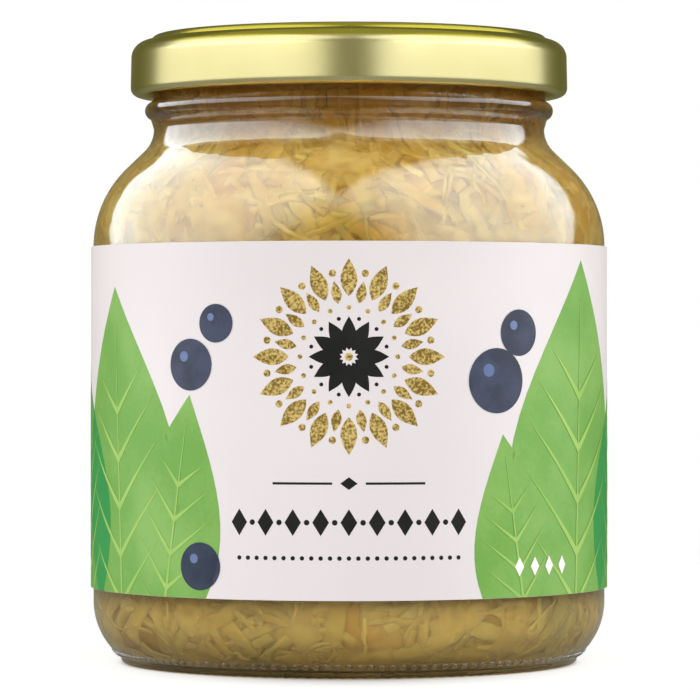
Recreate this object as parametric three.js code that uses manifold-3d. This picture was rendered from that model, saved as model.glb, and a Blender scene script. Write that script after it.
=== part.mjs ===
import * as THREE from 'three';
import { mergeVertices } from 'three/addons/utils/BufferGeometryUtils.js';
import Module from 'manifold-3d';

// A glass jar packed with shredded cabbage, closed by a twist-off lid and wrapped in a paper label.
// Millimetres, +Z up. The origin is the middle of the base, on the surface that the jar stands on.

const wasm = await Module();
wasm.setup();

// Round pieces are turned in this many steps
const ROUND_STEPS = 48;

// Jar, outside: body, foot and heel
const BODY_RADIUS = 40.3;
const CONTACT_INNER_RADIUS = 32.2;
const CONTACT_OUTER_RADIUS = 35.1;
const FOOT_RADIUS = 36.0;
const PUNT_EDGE_RADIUS = 30.6;
const PUNT_EDGE_HEIGHT = 1.3;
const PUNT_HEIGHT = 2.2;
const PUNT_SAG = 0.2;
const HEEL_RADIUS = 11.2;
const HEEL_TOP = 9.8;

// Jar, outside: shoulder, neck, bead and mouth
const SHOULDER_RADIUS = 17.0;
const SHOULDER_START = 65.5;
const SHOULDER_TILT = 46;
const NECK_RADIUS = 30.8;
const NECK_BEND_RADIUS = 4.9;
const BEAD_RADIUS = 32.2;
const BEAD_MIDDLE = 86.85;
const BEAD_HALF_HEIGHT = 1.4;
const BEAD_TOP_FILLET = 0.1;
const MOUTH_RADIUS = 31.0;
const MOUTH_TOP = 97.3;
const MOUTH_ROUNDING = 0.9;

// Jar, inside
const WALL = 2.2;
const FLOOR_HEIGHT = 3.2;
const FLOOR_RISE = 1.4;
const INNER_HEEL_RADIUS = 6.2;

// Lid, pressed from sheet with a rolled lower edge
const SHEET = 0.4;
const LID_TOP = 98.7;
const LID_SKIRT_RADIUS = 34.35;
const LID_CURL_RADIUS = 34.45;
const LID_CURL_SIZE = 1.3;
const LID_CURL_MIDDLE = 90.45;
const LID_RING_RADIUS = 31.25;
const LID_RING_INNER_RADIUS = 27.0;
const LID_RING_ROUNDING = 1.0;
const LID_RING_SLOPE = 1.2;
const LID_STEP_HEIGHT = 97.8;
const LID_SHOULDER_RADIUS = 2.6;
const LID_PANEL_HEIGHT = 97.9;
const BUTTON_RADIUS = 9.5;
const BUTTON_SLOPE = 1.0;
const BUTTON_DEPTH = 0.35;
const BUTTON_DOME = 0.3;
const LUG_COUNT = 4;
const LUG_ANGLE = 18;
const LUG_TIP_ANGLE = 13;
const LUG_TIP_RADIUS = 31.6;
const LUG_THICKNESS = 0.9;

// Label, one strip of paper whose ends nearly meet at the back
const LABEL_STEPS = 46;
const LABEL_BACK_GAP = 5.6;
const LABEL_GAP_TO_GLASS = 0.25;
const LABEL_THICKNESS = 0.25;
const LABEL_BOTTOM = 12.0;
const LABEL_TOP = 65.4;

// Shredded cabbage
const FILL_HEIGHT = 92.6;
const FILL_DOME = 0.8;
const FILL_EDGE_DROP = 0.8;
const FILL_EDGE_WIDTH = 4.0;
const CORE_DEPTH = 1.25;
const SHRED_DEPTH = 0.5;
const SHRED_THICKNESS = 1.3;
const SHRED_LENGTH = 21.0;
const SHRED_WIDTH = 2.3;
const SHRED_STEPS = 4;
const SHRED_TAPER = 0.5;
const SHRED_MAX_TILT = 65;
const SHRED_MAX_BEND = 0.02;
const GOLDEN_ANGLE = Math.PI * (3 - Math.sqrt(5));
const SEED = 7;

// Stretches of the wall's length, from the floor's edge to the fill line, with their shreds
const SHRED_BANDS = [
  { from: 0.0, to: 0.13, count: 11 },
  { from: 0.17, to: 0.6, count: 6 },
  { from: 0.64, to: 0.96, count: 27 },
];

// A point of a turned profile: distance from the axis and height
function at(radius, height) {
  return new THREE.Vector2(radius, height);
}

// Points of an arc round a centre, between two angles in degrees: 0 points outwards and 90 up
function arc(centre, radius, from, to, steps) {
  const points = [];
  for (let i = 0; i <= steps; i += 1) {
    const angle = THREE.MathUtils.degToRad(from + ((to - from) * i) / steps);
    points.push(at(centre.x + radius * Math.cos(angle), centre.y + radius * Math.sin(angle)));
  }
  return points;
}

// A profile turned round the Z axis
function turned(profile) {
  const geometry = new THREE.LatheGeometry(profile, ROUND_STEPS);
  geometry.rotateX(Math.PI / 2);
  return geometry;
}

// A closed geometry as a solid that can be joined and cut
function toSolid(geometry) {
  const bare = geometry.clone();
  bare.deleteAttribute('normal');
  bare.deleteAttribute('uv');
  const merged = mergeVertices(bare, 1e-4);
  const index = merged.index.array;
  const triangles = [];
  for (let i = 0; i < index.length; i += 3) {
    const [a, b, c] = [index[i], index[i + 1], index[i + 2]];
    if (a !== b && b !== c && c !== a) {
      triangles.push(a, b, c);
    }
  }
  return new wasm.Manifold(
    new wasm.Mesh({
      numProp: 3,
      vertProperties: new Float32Array(merged.attributes.position.array),
      triVerts: new Uint32Array(triangles),
    }),
  );
}

// A joined or cut solid as a geometry
function toGeometry(solid) {
  const mesh = solid.getMesh();
  const geometry = new THREE.BufferGeometry();
  geometry.setAttribute('position', new THREE.BufferAttribute(mesh.vertProperties, 3));
  geometry.setIndex(new THREE.BufferAttribute(mesh.triVerts, 1));
  geometry.computeVertexNormals();
  return geometry;
}

// Repeatable random numbers from 0 to 1
function seeded(seed) {
  let state = seed;
  return () => {
    state = (state * 1664525 + 1013904223) % 4294967296;
    return state / 4294967296;
  };
}

// Shoulder, its straight run and the neck's hollow bend, a given distance inside the outer face
function shoulder(inset, roundSteps, bendSteps) {
  const tilt = THREE.MathUtils.degToRad(SHOULDER_TILT);
  const reach = SHOULDER_RADIUS + NECK_BEND_RADIUS;
  const round = at(BODY_RADIUS - SHOULDER_RADIUS, SHOULDER_START);
  const bend = at(NECK_RADIUS + NECK_BEND_RADIUS, SHOULDER_START + reach * Math.sin(tilt));
  const run = (reach * Math.cos(tilt) - (bend.x - round.x)) / Math.sin(tilt);
  bend.y += run * Math.cos(tilt);
  return [
    ...arc(round, SHOULDER_RADIUS - inset, 0, SHOULDER_TILT, roundSteps),
    ...arc(bend, NECK_BEND_RADIUS + inset, 180 + SHOULDER_TILT, 180, bendSteps),
  ];
}

// Underside, contact ring, foot and heel of the glass
function glassBase() {
  const heel = at(BODY_RADIUS - HEEL_RADIUS, HEEL_TOP);
  const footAngle = -THREE.MathUtils.radToDeg(Math.acos((FOOT_RADIUS - heel.x) / HEEL_RADIUS));
  const rounding = FOOT_RADIUS - CONTACT_OUTER_RADIUS;
  return [
    at(0, PUNT_HEIGHT),
    at(PUNT_EDGE_RADIUS / 2, PUNT_HEIGHT - PUNT_SAG),
    at(PUNT_EDGE_RADIUS, PUNT_EDGE_HEIGHT),
    at(CONTACT_INNER_RADIUS, 0),
    ...arc(at(CONTACT_OUTER_RADIUS, rounding), rounding, -90, -20, 2),
    ...arc(heel, HEEL_RADIUS, footAngle, 0, 5),
  ];
}

// Bead below the mouth, and the mouth's outer face and rim
function glassMouth() {
  const bead = at(BEAD_RADIUS - BEAD_HALF_HEIGHT, BEAD_MIDDLE);
  const innerRadius = NECK_RADIUS - WALL;
  const outerRim = at(MOUTH_RADIUS - MOUTH_ROUNDING, MOUTH_TOP - MOUTH_ROUNDING);
  const innerRim = at(innerRadius + MOUTH_ROUNDING, MOUTH_TOP - MOUTH_ROUNDING);
  return [
    ...arc(bead, BEAD_HALF_HEIGHT, -75, 65, 4),
    at(MOUTH_RADIUS, BEAD_MIDDLE + BEAD_HALF_HEIGHT + BEAD_TOP_FILLET),
    ...arc(outerRim, MOUTH_ROUNDING, 0, 90, 2),
    ...arc(innerRim, MOUTH_ROUNDING, 90, 180, 2),
  ];
}

// The wall of the jar's hollow from the floor's edge up to the neck, a given distance in from it
function hollowWall(inset, steps) {
  const heel = at(BODY_RADIUS - WALL - INNER_HEEL_RADIUS, FLOOR_HEIGHT + INNER_HEEL_RADIUS);
  return [
    ...arc(heel, INNER_HEEL_RADIUS - inset, -90, 0, steps),
    ...shoulder(WALL + inset, steps, steps - 2),
  ];
}

// The jar: one solid of glass, open at the mouth
function jarGlass() {
  const inside = [at(0, FLOOR_HEIGHT + FLOOR_RISE), ...hollowWall(0, 4)];
  return turned([...glassBase(), ...shoulder(0, 5, 3), ...glassMouth(), ...inside.reverse()]);
}

// Middle of the rolled lower edge of the lid
function curlCentre() {
  return at(LID_CURL_RADIUS - LID_CURL_SIZE, LID_CURL_MIDDLE);
}

// The lid's outer face, from the middle of the panel out and down to the curl
function lidOutside() {
  const ringCentre = at(LID_RING_RADIUS - LID_RING_ROUNDING, LID_TOP - LID_RING_ROUNDING);
  const skirtTop = LID_STEP_HEIGHT - LID_SHOULDER_RADIUS;
  const shoulderCentre = at(LID_SKIRT_RADIUS - LID_SHOULDER_RADIUS, skirtTop);
  const buttonFloor = LID_PANEL_HEIGHT - BUTTON_DEPTH;
  return [
    at(0, buttonFloor + BUTTON_DOME),
    at(BUTTON_RADIUS / 2, buttonFloor + 0.75 * BUTTON_DOME),
    at(BUTTON_RADIUS - BUTTON_SLOPE, buttonFloor),
    at(BUTTON_RADIUS, LID_PANEL_HEIGHT),
    at(LID_RING_INNER_RADIUS - LID_RING_SLOPE, LID_PANEL_HEIGHT),
    at(LID_RING_INNER_RADIUS, LID_TOP),
    ...arc(ringCentre, LID_RING_ROUNDING, 90, 0, 2),
    ...arc(shoulderCentre, LID_SHOULDER_RADIUS, 95, 0, 4),
    ...arc(curlCentre(), LID_CURL_SIZE, 0, -180, 4),
  ];
}

// The lid's inner face, one thickness of sheet inside the outer one, from the curl to the middle
function lidInside() {
  const ringCentre = at(LID_RING_RADIUS - LID_RING_ROUNDING, LID_TOP - LID_RING_ROUNDING);
  const skirt = LID_SKIRT_RADIUS - SHEET;
  const skirtTop = LID_STEP_HEIGHT - LID_SHOULDER_RADIUS;
  const shoulderCentre = at(LID_SKIRT_RADIUS - LID_SHOULDER_RADIUS, skirtTop);
  const buttonFloor = LID_PANEL_HEIGHT - BUTTON_DEPTH - SHEET;
  return [
    ...arc(curlCentre(), LID_CURL_SIZE, 150, 120, 1),
    at(skirt, LID_CURL_MIDDLE + 1.5 * LID_CURL_SIZE),
    ...arc(shoulderCentre, LID_SHOULDER_RADIUS - SHEET, 0, 85, 2),
    at(LID_RING_RADIUS - SHEET, LID_STEP_HEIGHT - SHEET),
    ...arc(ringCentre, LID_RING_ROUNDING - SHEET, 0, 90, 1),
    at(LID_RING_INNER_RADIUS + SHEET, LID_TOP - SHEET),
    at(LID_RING_INNER_RADIUS - LID_RING_SLOPE + SHEET, LID_PANEL_HEIGHT - SHEET),
    at(BUTTON_RADIUS, LID_PANEL_HEIGHT - SHEET),
    at(BUTTON_RADIUS - BUTTON_SLOPE, buttonFloor),
    at(0, buttonFloor + BUTTON_DOME),
  ];
}

// One lug: a short tongue pressed inwards from the curl
function lug(turn) {
  const root = THREE.MathUtils.degToRad(LUG_ANGLE / 2);
  const tip = THREE.MathUtils.degToRad(LUG_TIP_ANGLE / 2);
  const outline = new THREE.Shape();
  outline.absarc(0, 0, curlCentre().x, turn - root, turn + root, false);
  outline.absarc(0, 0, LUG_TIP_RADIUS, turn + tip, turn - tip, true);
  const settings = { depth: LUG_THICKNESS, bevelEnabled: false, curveSegments: 1 };
  const geometry = new THREE.ExtrudeGeometry(outline, settings);
  geometry.translate(0, 0, LID_CURL_MIDDLE - LUG_THICKNESS / 2);
  return geometry;
}

// The lid: shell, curl and lugs in one pressed piece
function lid() {
  let solid = toSolid(turned([...lidOutside(), ...lidInside()].reverse()));
  for (let i = 0; i < LUG_COUNT; i += 1) {
    solid = solid.add(toSolid(lug((2 * Math.PI * (i + 0.5)) / LUG_COUNT)));
  }
  return toGeometry(solid);
}

// The label: paper round the body, with a narrow gap between its ends at the back
function label() {
  const inner = BODY_RADIUS + LABEL_GAP_TO_GLASS;
  const outer = inner + LABEL_THICKNESS;
  const halfGap = LABEL_BACK_GAP / 2 / outer;
  const start = Math.PI / 2 + halfGap;
  const end = Math.PI * 2.5 - halfGap;
  const outline = new THREE.Shape();
  outline.absarc(0, 0, outer, start, end, false);
  outline.absarc(0, 0, inner, end, start, true);
  const settings = {
    depth: LABEL_TOP - LABEL_BOTTOM,
    bevelEnabled: false,
    curveSegments: LABEL_STEPS / 2,
  };
  const geometry = new THREE.ExtrudeGeometry(outline, settings);
  geometry.translate(0, 0, LABEL_BOTTOM);
  return geometry;
}

// One shred: a bent bar laid along the wall, its length tilted from the way round
function shred(wall, place, round, tilt, bend) {
  const length = SHRED_LENGTH;
  const geometry = new THREE.BoxGeometry(length, SHRED_WIDTH, SHRED_THICKNESS, SHRED_STEPS, 1, 1);
  const position = geometry.attributes.position;
  const reach = wall.getLength();
  for (let i = 0; i < position.count; i += 1) {
    const along = position.getX(i);
    const taper = 1 - SHRED_TAPER * (along / (length / 2)) ** 2;
    const across = position.getY(i) * taper + bend * along * along;
    const depth = SHRED_DEPTH + SHRED_THICKNESS / 2 - position.getZ(i);
    const up = along * Math.sin(tilt) + across * Math.cos(tilt);
    const aside = along * Math.cos(tilt) - across * Math.sin(tilt);
    const u = THREE.MathUtils.clamp(place + up / reach, 0, 1);
    const point = wall.getPointAt(u);
    const heading = wall.getTangentAt(u);
    const radius = point.x - heading.y * depth;
    const height = point.y + heading.x * depth;
    const angle = round + aside / radius;
    position.setXYZ(i, radius * Math.cos(angle), radius * Math.sin(angle), height);
  }
  return geometry;
}

// The cabbage: a core that fills the hollow, with the shreds that lie against the glass fused on
function kraut() {
  const foot = at(0, FLOOR_HEIGHT + FLOOR_RISE + CORE_DEPTH);
  const edge = NECK_RADIUS - WALL - CORE_DEPTH;
  const top = [
    at(edge, FILL_HEIGHT - FILL_EDGE_DROP),
    at(edge - FILL_EDGE_WIDTH, FILL_HEIGHT),
    at(0, FILL_HEIGHT + FILL_DOME),
  ];
  let solid = toSolid(turned([foot, ...hollowWall(CORE_DEPTH, 4), ...top]));
  const wall = new THREE.Path([...hollowWall(0, 12), at(NECK_RADIUS - WALL, FILL_HEIGHT)]);
  const random = seeded(SEED);
  let count = 0;
  for (const band of SHRED_BANDS) {
    for (let i = 0; i < band.count; i += 1) {
      const place = band.from + ((band.to - band.from) * (i + random())) / band.count;
      const tilt = THREE.MathUtils.degToRad(SHRED_MAX_TILT * (2 * random() - 1));
      const bend = SHRED_MAX_BEND * (2 * random() - 1);
      solid = solid.add(toSolid(shred(wall, place, count * GOLDEN_ANGLE, tilt, bend)));
      count += 1;
    }
  }
  return toGeometry(solid);
}

// A named piece with its finish
function piece(name, geometry, finish) {
  const mesh = new THREE.Mesh(geometry, new THREE.MeshStandardMaterial(finish));
  mesh.name = name;
  return mesh;
}

const clearGlass = { color: 0xdfe6dd, roughness: 0.03, metalness: 0, transparent: true, opacity: 0.3 };
const goldTinplate = { color: 0xc9bd7c, roughness: 0.25, metalness: 1 };
const labelPaper = { color: 0xf0ebe8, roughness: 0.6, metalness: 0 };
const paleCabbage = { color: 0xcdb27a, roughness: 0.5, metalness: 0 };

const model = new THREE.Group();
model.add(
  piece('jar', jarGlass(), clearGlass),
  piece('lid', lid(), goldTinplate),
  piece('label', label(), labelPaper),
  piece('kraut', kraut(), paleCabbage),
);

export default model;
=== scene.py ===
import logging
import math
from dataclasses import dataclass
from enum import Enum
from typing import Any, Mapping, Sequence

import bmesh
import bpy
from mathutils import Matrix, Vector


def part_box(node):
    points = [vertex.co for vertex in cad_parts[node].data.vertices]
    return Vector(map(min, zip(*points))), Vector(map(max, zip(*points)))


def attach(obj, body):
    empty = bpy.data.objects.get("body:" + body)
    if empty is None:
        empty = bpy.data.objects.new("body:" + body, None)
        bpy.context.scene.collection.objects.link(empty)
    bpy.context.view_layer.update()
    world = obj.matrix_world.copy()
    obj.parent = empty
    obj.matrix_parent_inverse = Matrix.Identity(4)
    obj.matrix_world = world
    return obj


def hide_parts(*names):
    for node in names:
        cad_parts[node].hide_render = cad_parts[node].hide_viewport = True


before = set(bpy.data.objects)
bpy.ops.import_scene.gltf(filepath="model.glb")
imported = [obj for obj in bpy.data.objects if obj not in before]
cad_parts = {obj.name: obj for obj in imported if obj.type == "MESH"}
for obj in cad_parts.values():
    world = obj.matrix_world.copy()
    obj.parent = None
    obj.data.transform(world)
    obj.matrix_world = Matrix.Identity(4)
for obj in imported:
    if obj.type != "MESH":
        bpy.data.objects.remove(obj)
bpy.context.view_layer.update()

# Sizes are in millimetres and become metres where a mesh is made.
MM = 0.001
ROUND_STEPS = 256
FULL_TURN = 2 * math.pi
BODY = "root"
# The power that moves a leaf's widest place below its middle.
LEAF_FULLNESS = 0.86

Point = tuple[float, float]
Colour = tuple[float, float, float]

log = logging.getLogger("sauerkraut_jar")


class Reach(Enum):
    """What a lamp reaches: every dull surface, or only the pieces named."""

    LIGHT = ()
    LID = ("lid_shell", "lid_lugs")
    GLASS = ("jar_glass", "jar_dots", "brine")
    LABEL = ("label_paper", "leaves_light", "leaves_deep", "leaves_overlap", "leaf_veins", "berries",
             "berry_overlap", "berry_glints", "emblem_foil", "emblem_ink", "rules_ink", "marks_white")
    KRAUT = ("kraut_core", "shreds_broad", "shreds_middling", "shreds_fine", "shreds_crumbs")


def srgb(red: int, green: int, blue: int) -> Colour:
    """A colour given as screen values, in the linear light that shaders use.

    Args:
        red: Red, 0 to 255.
        green: Green, 0 to 255.
        blue: Blue, 0 to 255.

    Returns:
        The three linear values.
    """

    def linear(value: int) -> float:
        """One channel in linear light."""
        share = value / 255
        return share / 12.92 if share <= 0.04045 else ((share + 0.055) / 1.055) ** 2.4

    return linear(red), linear(green), linear(blue)


class Graph:
    """Adds nodes to one node tree and links them."""

    def __init__(self, tree: bpy.types.NodeTree) -> None:
        """Starts with an empty tree.

        Args:
            tree: The node tree to fill.
        """
        self.tree = tree
        tree.nodes.clear()

    def node(
        self,
        kind: str,
        settings: Mapping[str, Any] | None = None,
        inputs: Mapping[str | int, Any] | None = None,
    ) -> "Made":
        """Adds one node, with its settings made before its inputs.

        Args:
            kind: The node's type.
            settings: Properties of the node. "stops" gives a colour ramp's stops.
            inputs: A value or a Signal for each input, by name or number.

        Returns:
            The new node.
        """
        made = self.tree.nodes.new(kind)
        for key, value in (settings or {}).items():
            if key == "stops":
                self._set_stops(made, value)
            else:
                setattr(made, key, value)
        for key, value in (inputs or {}).items():
            self.feed(made.inputs[key], value)
        return Made(self, made)

    def feed(self, socket: bpy.types.NodeSocket, value: Any) -> None:
        """Links a Signal to a socket, or sets the socket's own value.

        Args:
            socket: The input.
            value: A Signal, a list of Signals for a socket that takes many, or a plain value.
        """
        for one in value if isinstance(value, list) else [value]:
            if isinstance(one, Signal):
                self.tree.links.new(one.socket, socket)
            elif socket.type == "RGBA" and len(one) == 3:
                socket.default_value = (*one, 1.0)
            else:
                socket.default_value = one

    def maths(self, operation: str, *operands: Any, clamp: bool = False) -> "Signal":
        """The result of one Math node.

        Args:
            operation: The node's operation.
            operands: Signals or numbers.
            clamp: Whether the result is kept from 0 to 1.

        Returns:
            The result.
        """
        settings = {"operation": operation, "use_clamp": clamp}
        return self.node("ShaderNodeMath", settings, dict(enumerate(operands))).out()

    def vector(self, operation: str, *operands: Any, output: str = "Vector") -> "Signal":
        """The result of one Vector Math node.

        Args:
            operation: The node's operation.
            operands: Signals or vectors.
            output: "Vector", or "Value" for a length or a dot product.

        Returns:
            The result.
        """
        inputs = dict(enumerate(operands))
        return self.node("ShaderNodeVectorMath", {"operation": operation}, inputs).out(output)

    def blend(self, factor: Any, first: Any, second: Any, mode: str = "MIX") -> "Signal":
        """Two colours mixed.

        Args:
            factor: The share of the second.
            first: A colour.
            second: A colour.
            mode: How they mix.

        Returns:
            The mixed colour.
        """
        settings = {"data_type": "RGBA", "blend_type": mode}
        inputs = {0: factor, 6: first, 7: second}
        return self.node("ShaderNodeMix", settings, inputs).out(2)

    def remap(self, value: Any, low: float, high: float, to_low: float, to_high: float) -> "Signal":
        """A value carried smoothly from one range to another and held at the ends.

        Args:
            value: The Signal.
            low: Where the first range starts.
            high: Where it ends.
            to_low: What low becomes.
            to_high: What high becomes.

        Returns:
            The new value.
        """
        inputs = {0: value, 1: low, 2: high, 3: to_low, 4: to_high}
        return self.node("ShaderNodeMapRange", {"interpolation_type": "SMOOTHSTEP"}, inputs).out()

    @staticmethod
    def _set_stops(ramp: bpy.types.Node, stops: Sequence[tuple[float, Colour]]) -> None:
        """Sets the stops of a colour ramp.

        Args:
            ramp: The ramp's node.
            stops: A place and a colour for each.
        """
        elements = ramp.color_ramp.elements
        while len(elements) < len(stops):
            elements.new(0.5)
        for element, (place, colour) in zip(elements, stops):
            element.position = place
            element.color = (*colour, 1.0)


@dataclass(frozen=True)
class Made:
    """A node that a Graph has added."""

    graph: Graph
    raw: bpy.types.Node

    def out(self, key: str | int = 0) -> "Signal":
        """One of its outputs, by name or number."""
        return Signal(self.graph, self.raw.outputs[key])


@dataclass(frozen=True)
class Signal:
    """An output socket that takes part in sums."""

    graph: Graph
    socket: bpy.types.NodeSocket

    def __add__(self, other: Any) -> "Signal":
        """This plus other."""
        return self.graph.maths("ADD", self, other)

    def __radd__(self, other: Any) -> "Signal":
        """Other plus this."""
        return self.graph.maths("ADD", other, self)

    def __sub__(self, other: Any) -> "Signal":
        """This less other."""
        return self.graph.maths("SUBTRACT", self, other)

    def __rsub__(self, other: Any) -> "Signal":
        """Other less this."""
        return self.graph.maths("SUBTRACT", other, self)

    def __mul__(self, other: Any) -> "Signal":
        """This times other."""
        return self.graph.maths("MULTIPLY", self, other)

    def __rmul__(self, other: Any) -> "Signal":
        """Other times this."""
        return self.graph.maths("MULTIPLY", other, self)

    def __truediv__(self, other: Any) -> "Signal":
        """This divided by other."""
        return self.graph.maths("DIVIDE", self, other)


def parts_of(graph: Graph, vector: Signal) -> tuple[Signal, Signal, Signal]:
    """The x, y and z of a vector."""
    split = graph.node("ShaderNodeSeparateXYZ", None, {0: vector})
    return split.out(0), split.out(1), split.out(2)


def vector_from(graph: Graph, x: Any, y: Any, z: Any) -> Signal:
    """A vector from its x, y and z."""
    return graph.node("ShaderNodeCombineXYZ", None, {0: x, 1: y, 2: z}).out()


def new_material(name: str) -> tuple[bpy.types.Material, Graph]:
    """A new material with an empty node tree.

    Args:
        name: Its name.

    Returns:
        The material and the Graph that fills it.
    """
    material = bpy.data.materials.new(name)
    material.use_nodes = True
    return material, Graph(material.node_tree)


def finish_surface(graph: Graph, surface: Signal) -> None:
    """Leads a shader to the material's output."""
    graph.node("ShaderNodeOutputMaterial", None, {"Surface": surface})


def principled(graph: Graph, inputs: Mapping[str | int, Any]) -> Signal:
    """A Principled shader with these inputs."""
    return graph.node("ShaderNodeBsdfPrincipled", None, inputs).out()


def mixed(graph: Graph, share: Any, first: Signal, second: Signal) -> Signal:
    """Two shaders mixed, share being that of the second."""
    return graph.node("ShaderNodeMixShader", None, {0: share, 1: first, 2: second}).out()


def bumped(graph: Graph, height: Signal, strength: float, depth: float) -> Signal:
    """A normal tilted by relief.

    Args:
        graph: Where the node goes.
        height: The relief, from 0 to 1.
        strength: How much of it shows.
        depth: How deep it is, in metres.

    Returns:
        The normal.
    """
    inputs = {"Strength": strength, "Distance": depth, "Height": height}
    return graph.node("ShaderNodeBump", None, inputs).out()


def lamps_pass(graph: Graph, surface: Signal, lamp_colour: Colour) -> Signal:
    """A clear surface that tints the lamps' light where it would else cast a shadow.

    Args:
        graph: Where the nodes go.
        surface: The surface's shader.
        lamp_colour: The tint.

    Returns:
        The whole shader.
    """
    lit = graph.node("ShaderNodeBsdfTransparent", None, {"Color": lamp_colour}).out()
    return mixed(graph, graph.node("ShaderNodeLightPath").out("Is Shadow Ray"), surface, lit)


def noise(graph: Graph, place: Signal, scale: Any, detail: float = 2.0) -> Signal:
    """Cloudy noise from 0 to 1.

    Args:
        graph: Where the node goes.
        place: The coordinates.
        scale: How fine it is, a number or a Signal.
        detail: How many finer layers it has.

    Returns:
        The noise.
    """
    return graph.node("ShaderNodeTexNoise", None, {"Vector": place, "Scale": scale, "Detail": detail}).out()


def object_place(graph: Graph, stretch: tuple[float, float, float] = (1, 1, 1)) -> Signal:
    """Object coordinates, stretched along each axis.

    Args:
        graph: Where the nodes go.
        stretch: The factors.

    Returns:
        The coordinates.
    """
    place = graph.node("ShaderNodeTexCoord").out("Object")
    return graph.node("ShaderNodeMapping", None, {"Vector": place, "Scale": stretch}).out()


@dataclass(frozen=True)
class PaintedNeckShadeAndFloorLight:
    """How the colour of what fills the jar changes with height: painted shade in the neck, where the lid
    shades it, and painted light near the floor. Heights are in metres.
    """

    neck_start: float = 0.0775
    neck_end: float = 0.085
    neck_shade_tint: Colour = (0.46, 0.32, 0.13)
    floor_start: float = 0.006
    floor_end: float = 0.022
    floor_light_share: float = 0.55

    def over(self, graph: Graph, colour: Signal, pale: Colour) -> Signal:
        """A colour given painted shade in the jar's neck, making it darker, and painted light near its floor,
        making it paler.

        Args:
            graph: Where the nodes go.
            colour: The colour.
            pale: What it turns towards near the floor, as painted light.

        Returns:
            The new colour.
        """
        _, _, height = parts_of(graph, object_place(graph))
        # Painted shade: darker in the neck, standing in for the lid's shade.
        neck = graph.remap(height, self.neck_start, self.neck_end, 0.0, 1.0)
        colour = graph.blend(neck, colour, self.neck_shade_tint, "MULTIPLY")
        # Painted light: paler near the floor, standing in for light the lamps don't bring there.
        low = graph.remap(height, self.floor_start, self.floor_end, self.floor_light_share, 0.0)
        return graph.blend(low, colour, pale)


@dataclass(frozen=True)
class ClearFinish:
    """Clear glass, faintly wavy, that lets lamps through to what it holds."""

    name: str
    colour: Colour
    ior: float
    lamp_colour: Colour
    wave_scale: float = 140.0
    wave_strength: float = 0.3
    wave_depth: float = 0.0005

    def build(self) -> bpy.types.Material:
        """Makes the material."""
        material, graph = new_material(self.name)
        waves = noise(graph, object_place(graph), self.wave_scale)
        wavy = bumped(graph, waves, self.wave_strength, self.wave_depth)
        inputs = {"Color": self.colour, "Roughness": 0.0, "IOR": self.ior, "Normal": wavy}
        clear = graph.node("ShaderNodeBsdfGlass", None, inputs).out()
        finish_surface(graph, lamps_pass(graph, clear, self.lamp_colour))
        return material


@dataclass(frozen=True)
class CloudyFinish:
    """Brine with clouds of fine pulp where it meets the glass."""

    name: str
    colour: Colour
    ior: float
    lamp_colour: Colour
    pulp_colour: Colour
    pale_pulp_colour: Colour
    least_pulp: float
    most_pulp: float
    cloud_scale: float = 110.0
    patch_scale: float = 80.0
    tone_scale: float = 150.0
    upright_scale: float = 520.0
    level_scale: float = 480.0

    def build(self) -> bpy.types.Material:
        """Makes the material."""
        material, graph = new_material(self.name)
        inputs = {"Color": self.colour, "Roughness": 0.0, "IOR": self.ior}
        clear = graph.node("ShaderNodeBsdfGlass", None, inputs).out()
        place = object_place(graph)
        cloud = noise(graph, place, self.cloud_scale, 4.0)
        share = graph.remap(cloud, 0.32, 0.68, self.least_pulp, self.most_pulp)
        upright = noise(graph, object_place(graph, (1.0, 1.0, 0.3)), self.upright_scale, 3.0)
        level = noise(graph, object_place(graph, (0.4, 0.4, 1.3)), self.level_scale, 3.0)
        which = graph.remap(noise(graph, place, self.patch_scale, 1.0), 0.4, 0.6, 0.0, 1.0)
        strands = upright * which + level * (1.0 - which)
        tone = 0.45 * noise(graph, place, self.tone_scale, 3.0) + 0.55 * strands
        tone = graph.remap(tone, 0.36, 0.64, 0.0, 1.0)
        colour = graph.blend(tone, self.pulp_colour, self.pale_pulp_colour)
        # Painted shade in the neck and painted light near the floor, by height.
        colour = PaintedNeckShadeAndFloorLight().over(graph, colour, self.pale_pulp_colour)
        pulp = principled(graph, {"Base Color": colour, "Roughness": 1.0, "Specular IOR Level": 0.0})
        hazy = mixed(graph, share, clear, pulp)
        finish_surface(graph, lamps_pass(graph, hazy, self.lamp_colour))
        return material


@dataclass(frozen=True)
class CabbageFinish:
    """Wet, translucent cabbage, its tone changing from shred to shred and along each one, with painted shade
    in the neck and painted light near the floor.
    """

    name: str
    deep: Colour
    middle: Colour
    pale: Colour
    glow: float
    attribute: str | None = None
    broad_scale: float = 55.0
    fine_scale: float = 420.0
    grain_scale: float = 900.0

    def build(self) -> bpy.types.Material:
        """Makes the material."""
        material, graph = new_material(self.name)
        place = object_place(graph)
        broad = noise(graph, place, self.broad_scale, 3.0)
        fine = noise(graph, place, self.fine_scale, 3.0)
        tone = 0.55 * broad + 0.45 * fine
        if self.attribute:
            own = graph.node("ShaderNodeAttribute", {"attribute_name": self.attribute}).out("Fac")
            tone = 0.72 * tone + 0.28 * own
        stops = [(0.28, self.deep), (0.5, self.middle), (0.72, self.pale)]
        colour = graph.node("ShaderNodeValToRGB", {"stops": stops}, {0: tone}).out()
        grain = noise(graph, place, self.grain_scale)
        finish_surface(graph, principled(graph, {
            # Painted shade in the neck and painted light near the floor, by height.
            "Base Color": PaintedNeckShadeAndFloorLight().over(graph, colour, self.pale),
            "Roughness": 0.32,
            "IOR": 1.38,
            "Specular IOR Level": 0.5,
            "Subsurface Weight": self.glow,
            "Subsurface Radius": (1.0, 0.7, 0.35),
            "Subsurface Scale": 0.004,
            "Normal": bumped(graph, grain, 0.45, 0.0003),
        }))
        return material


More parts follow.
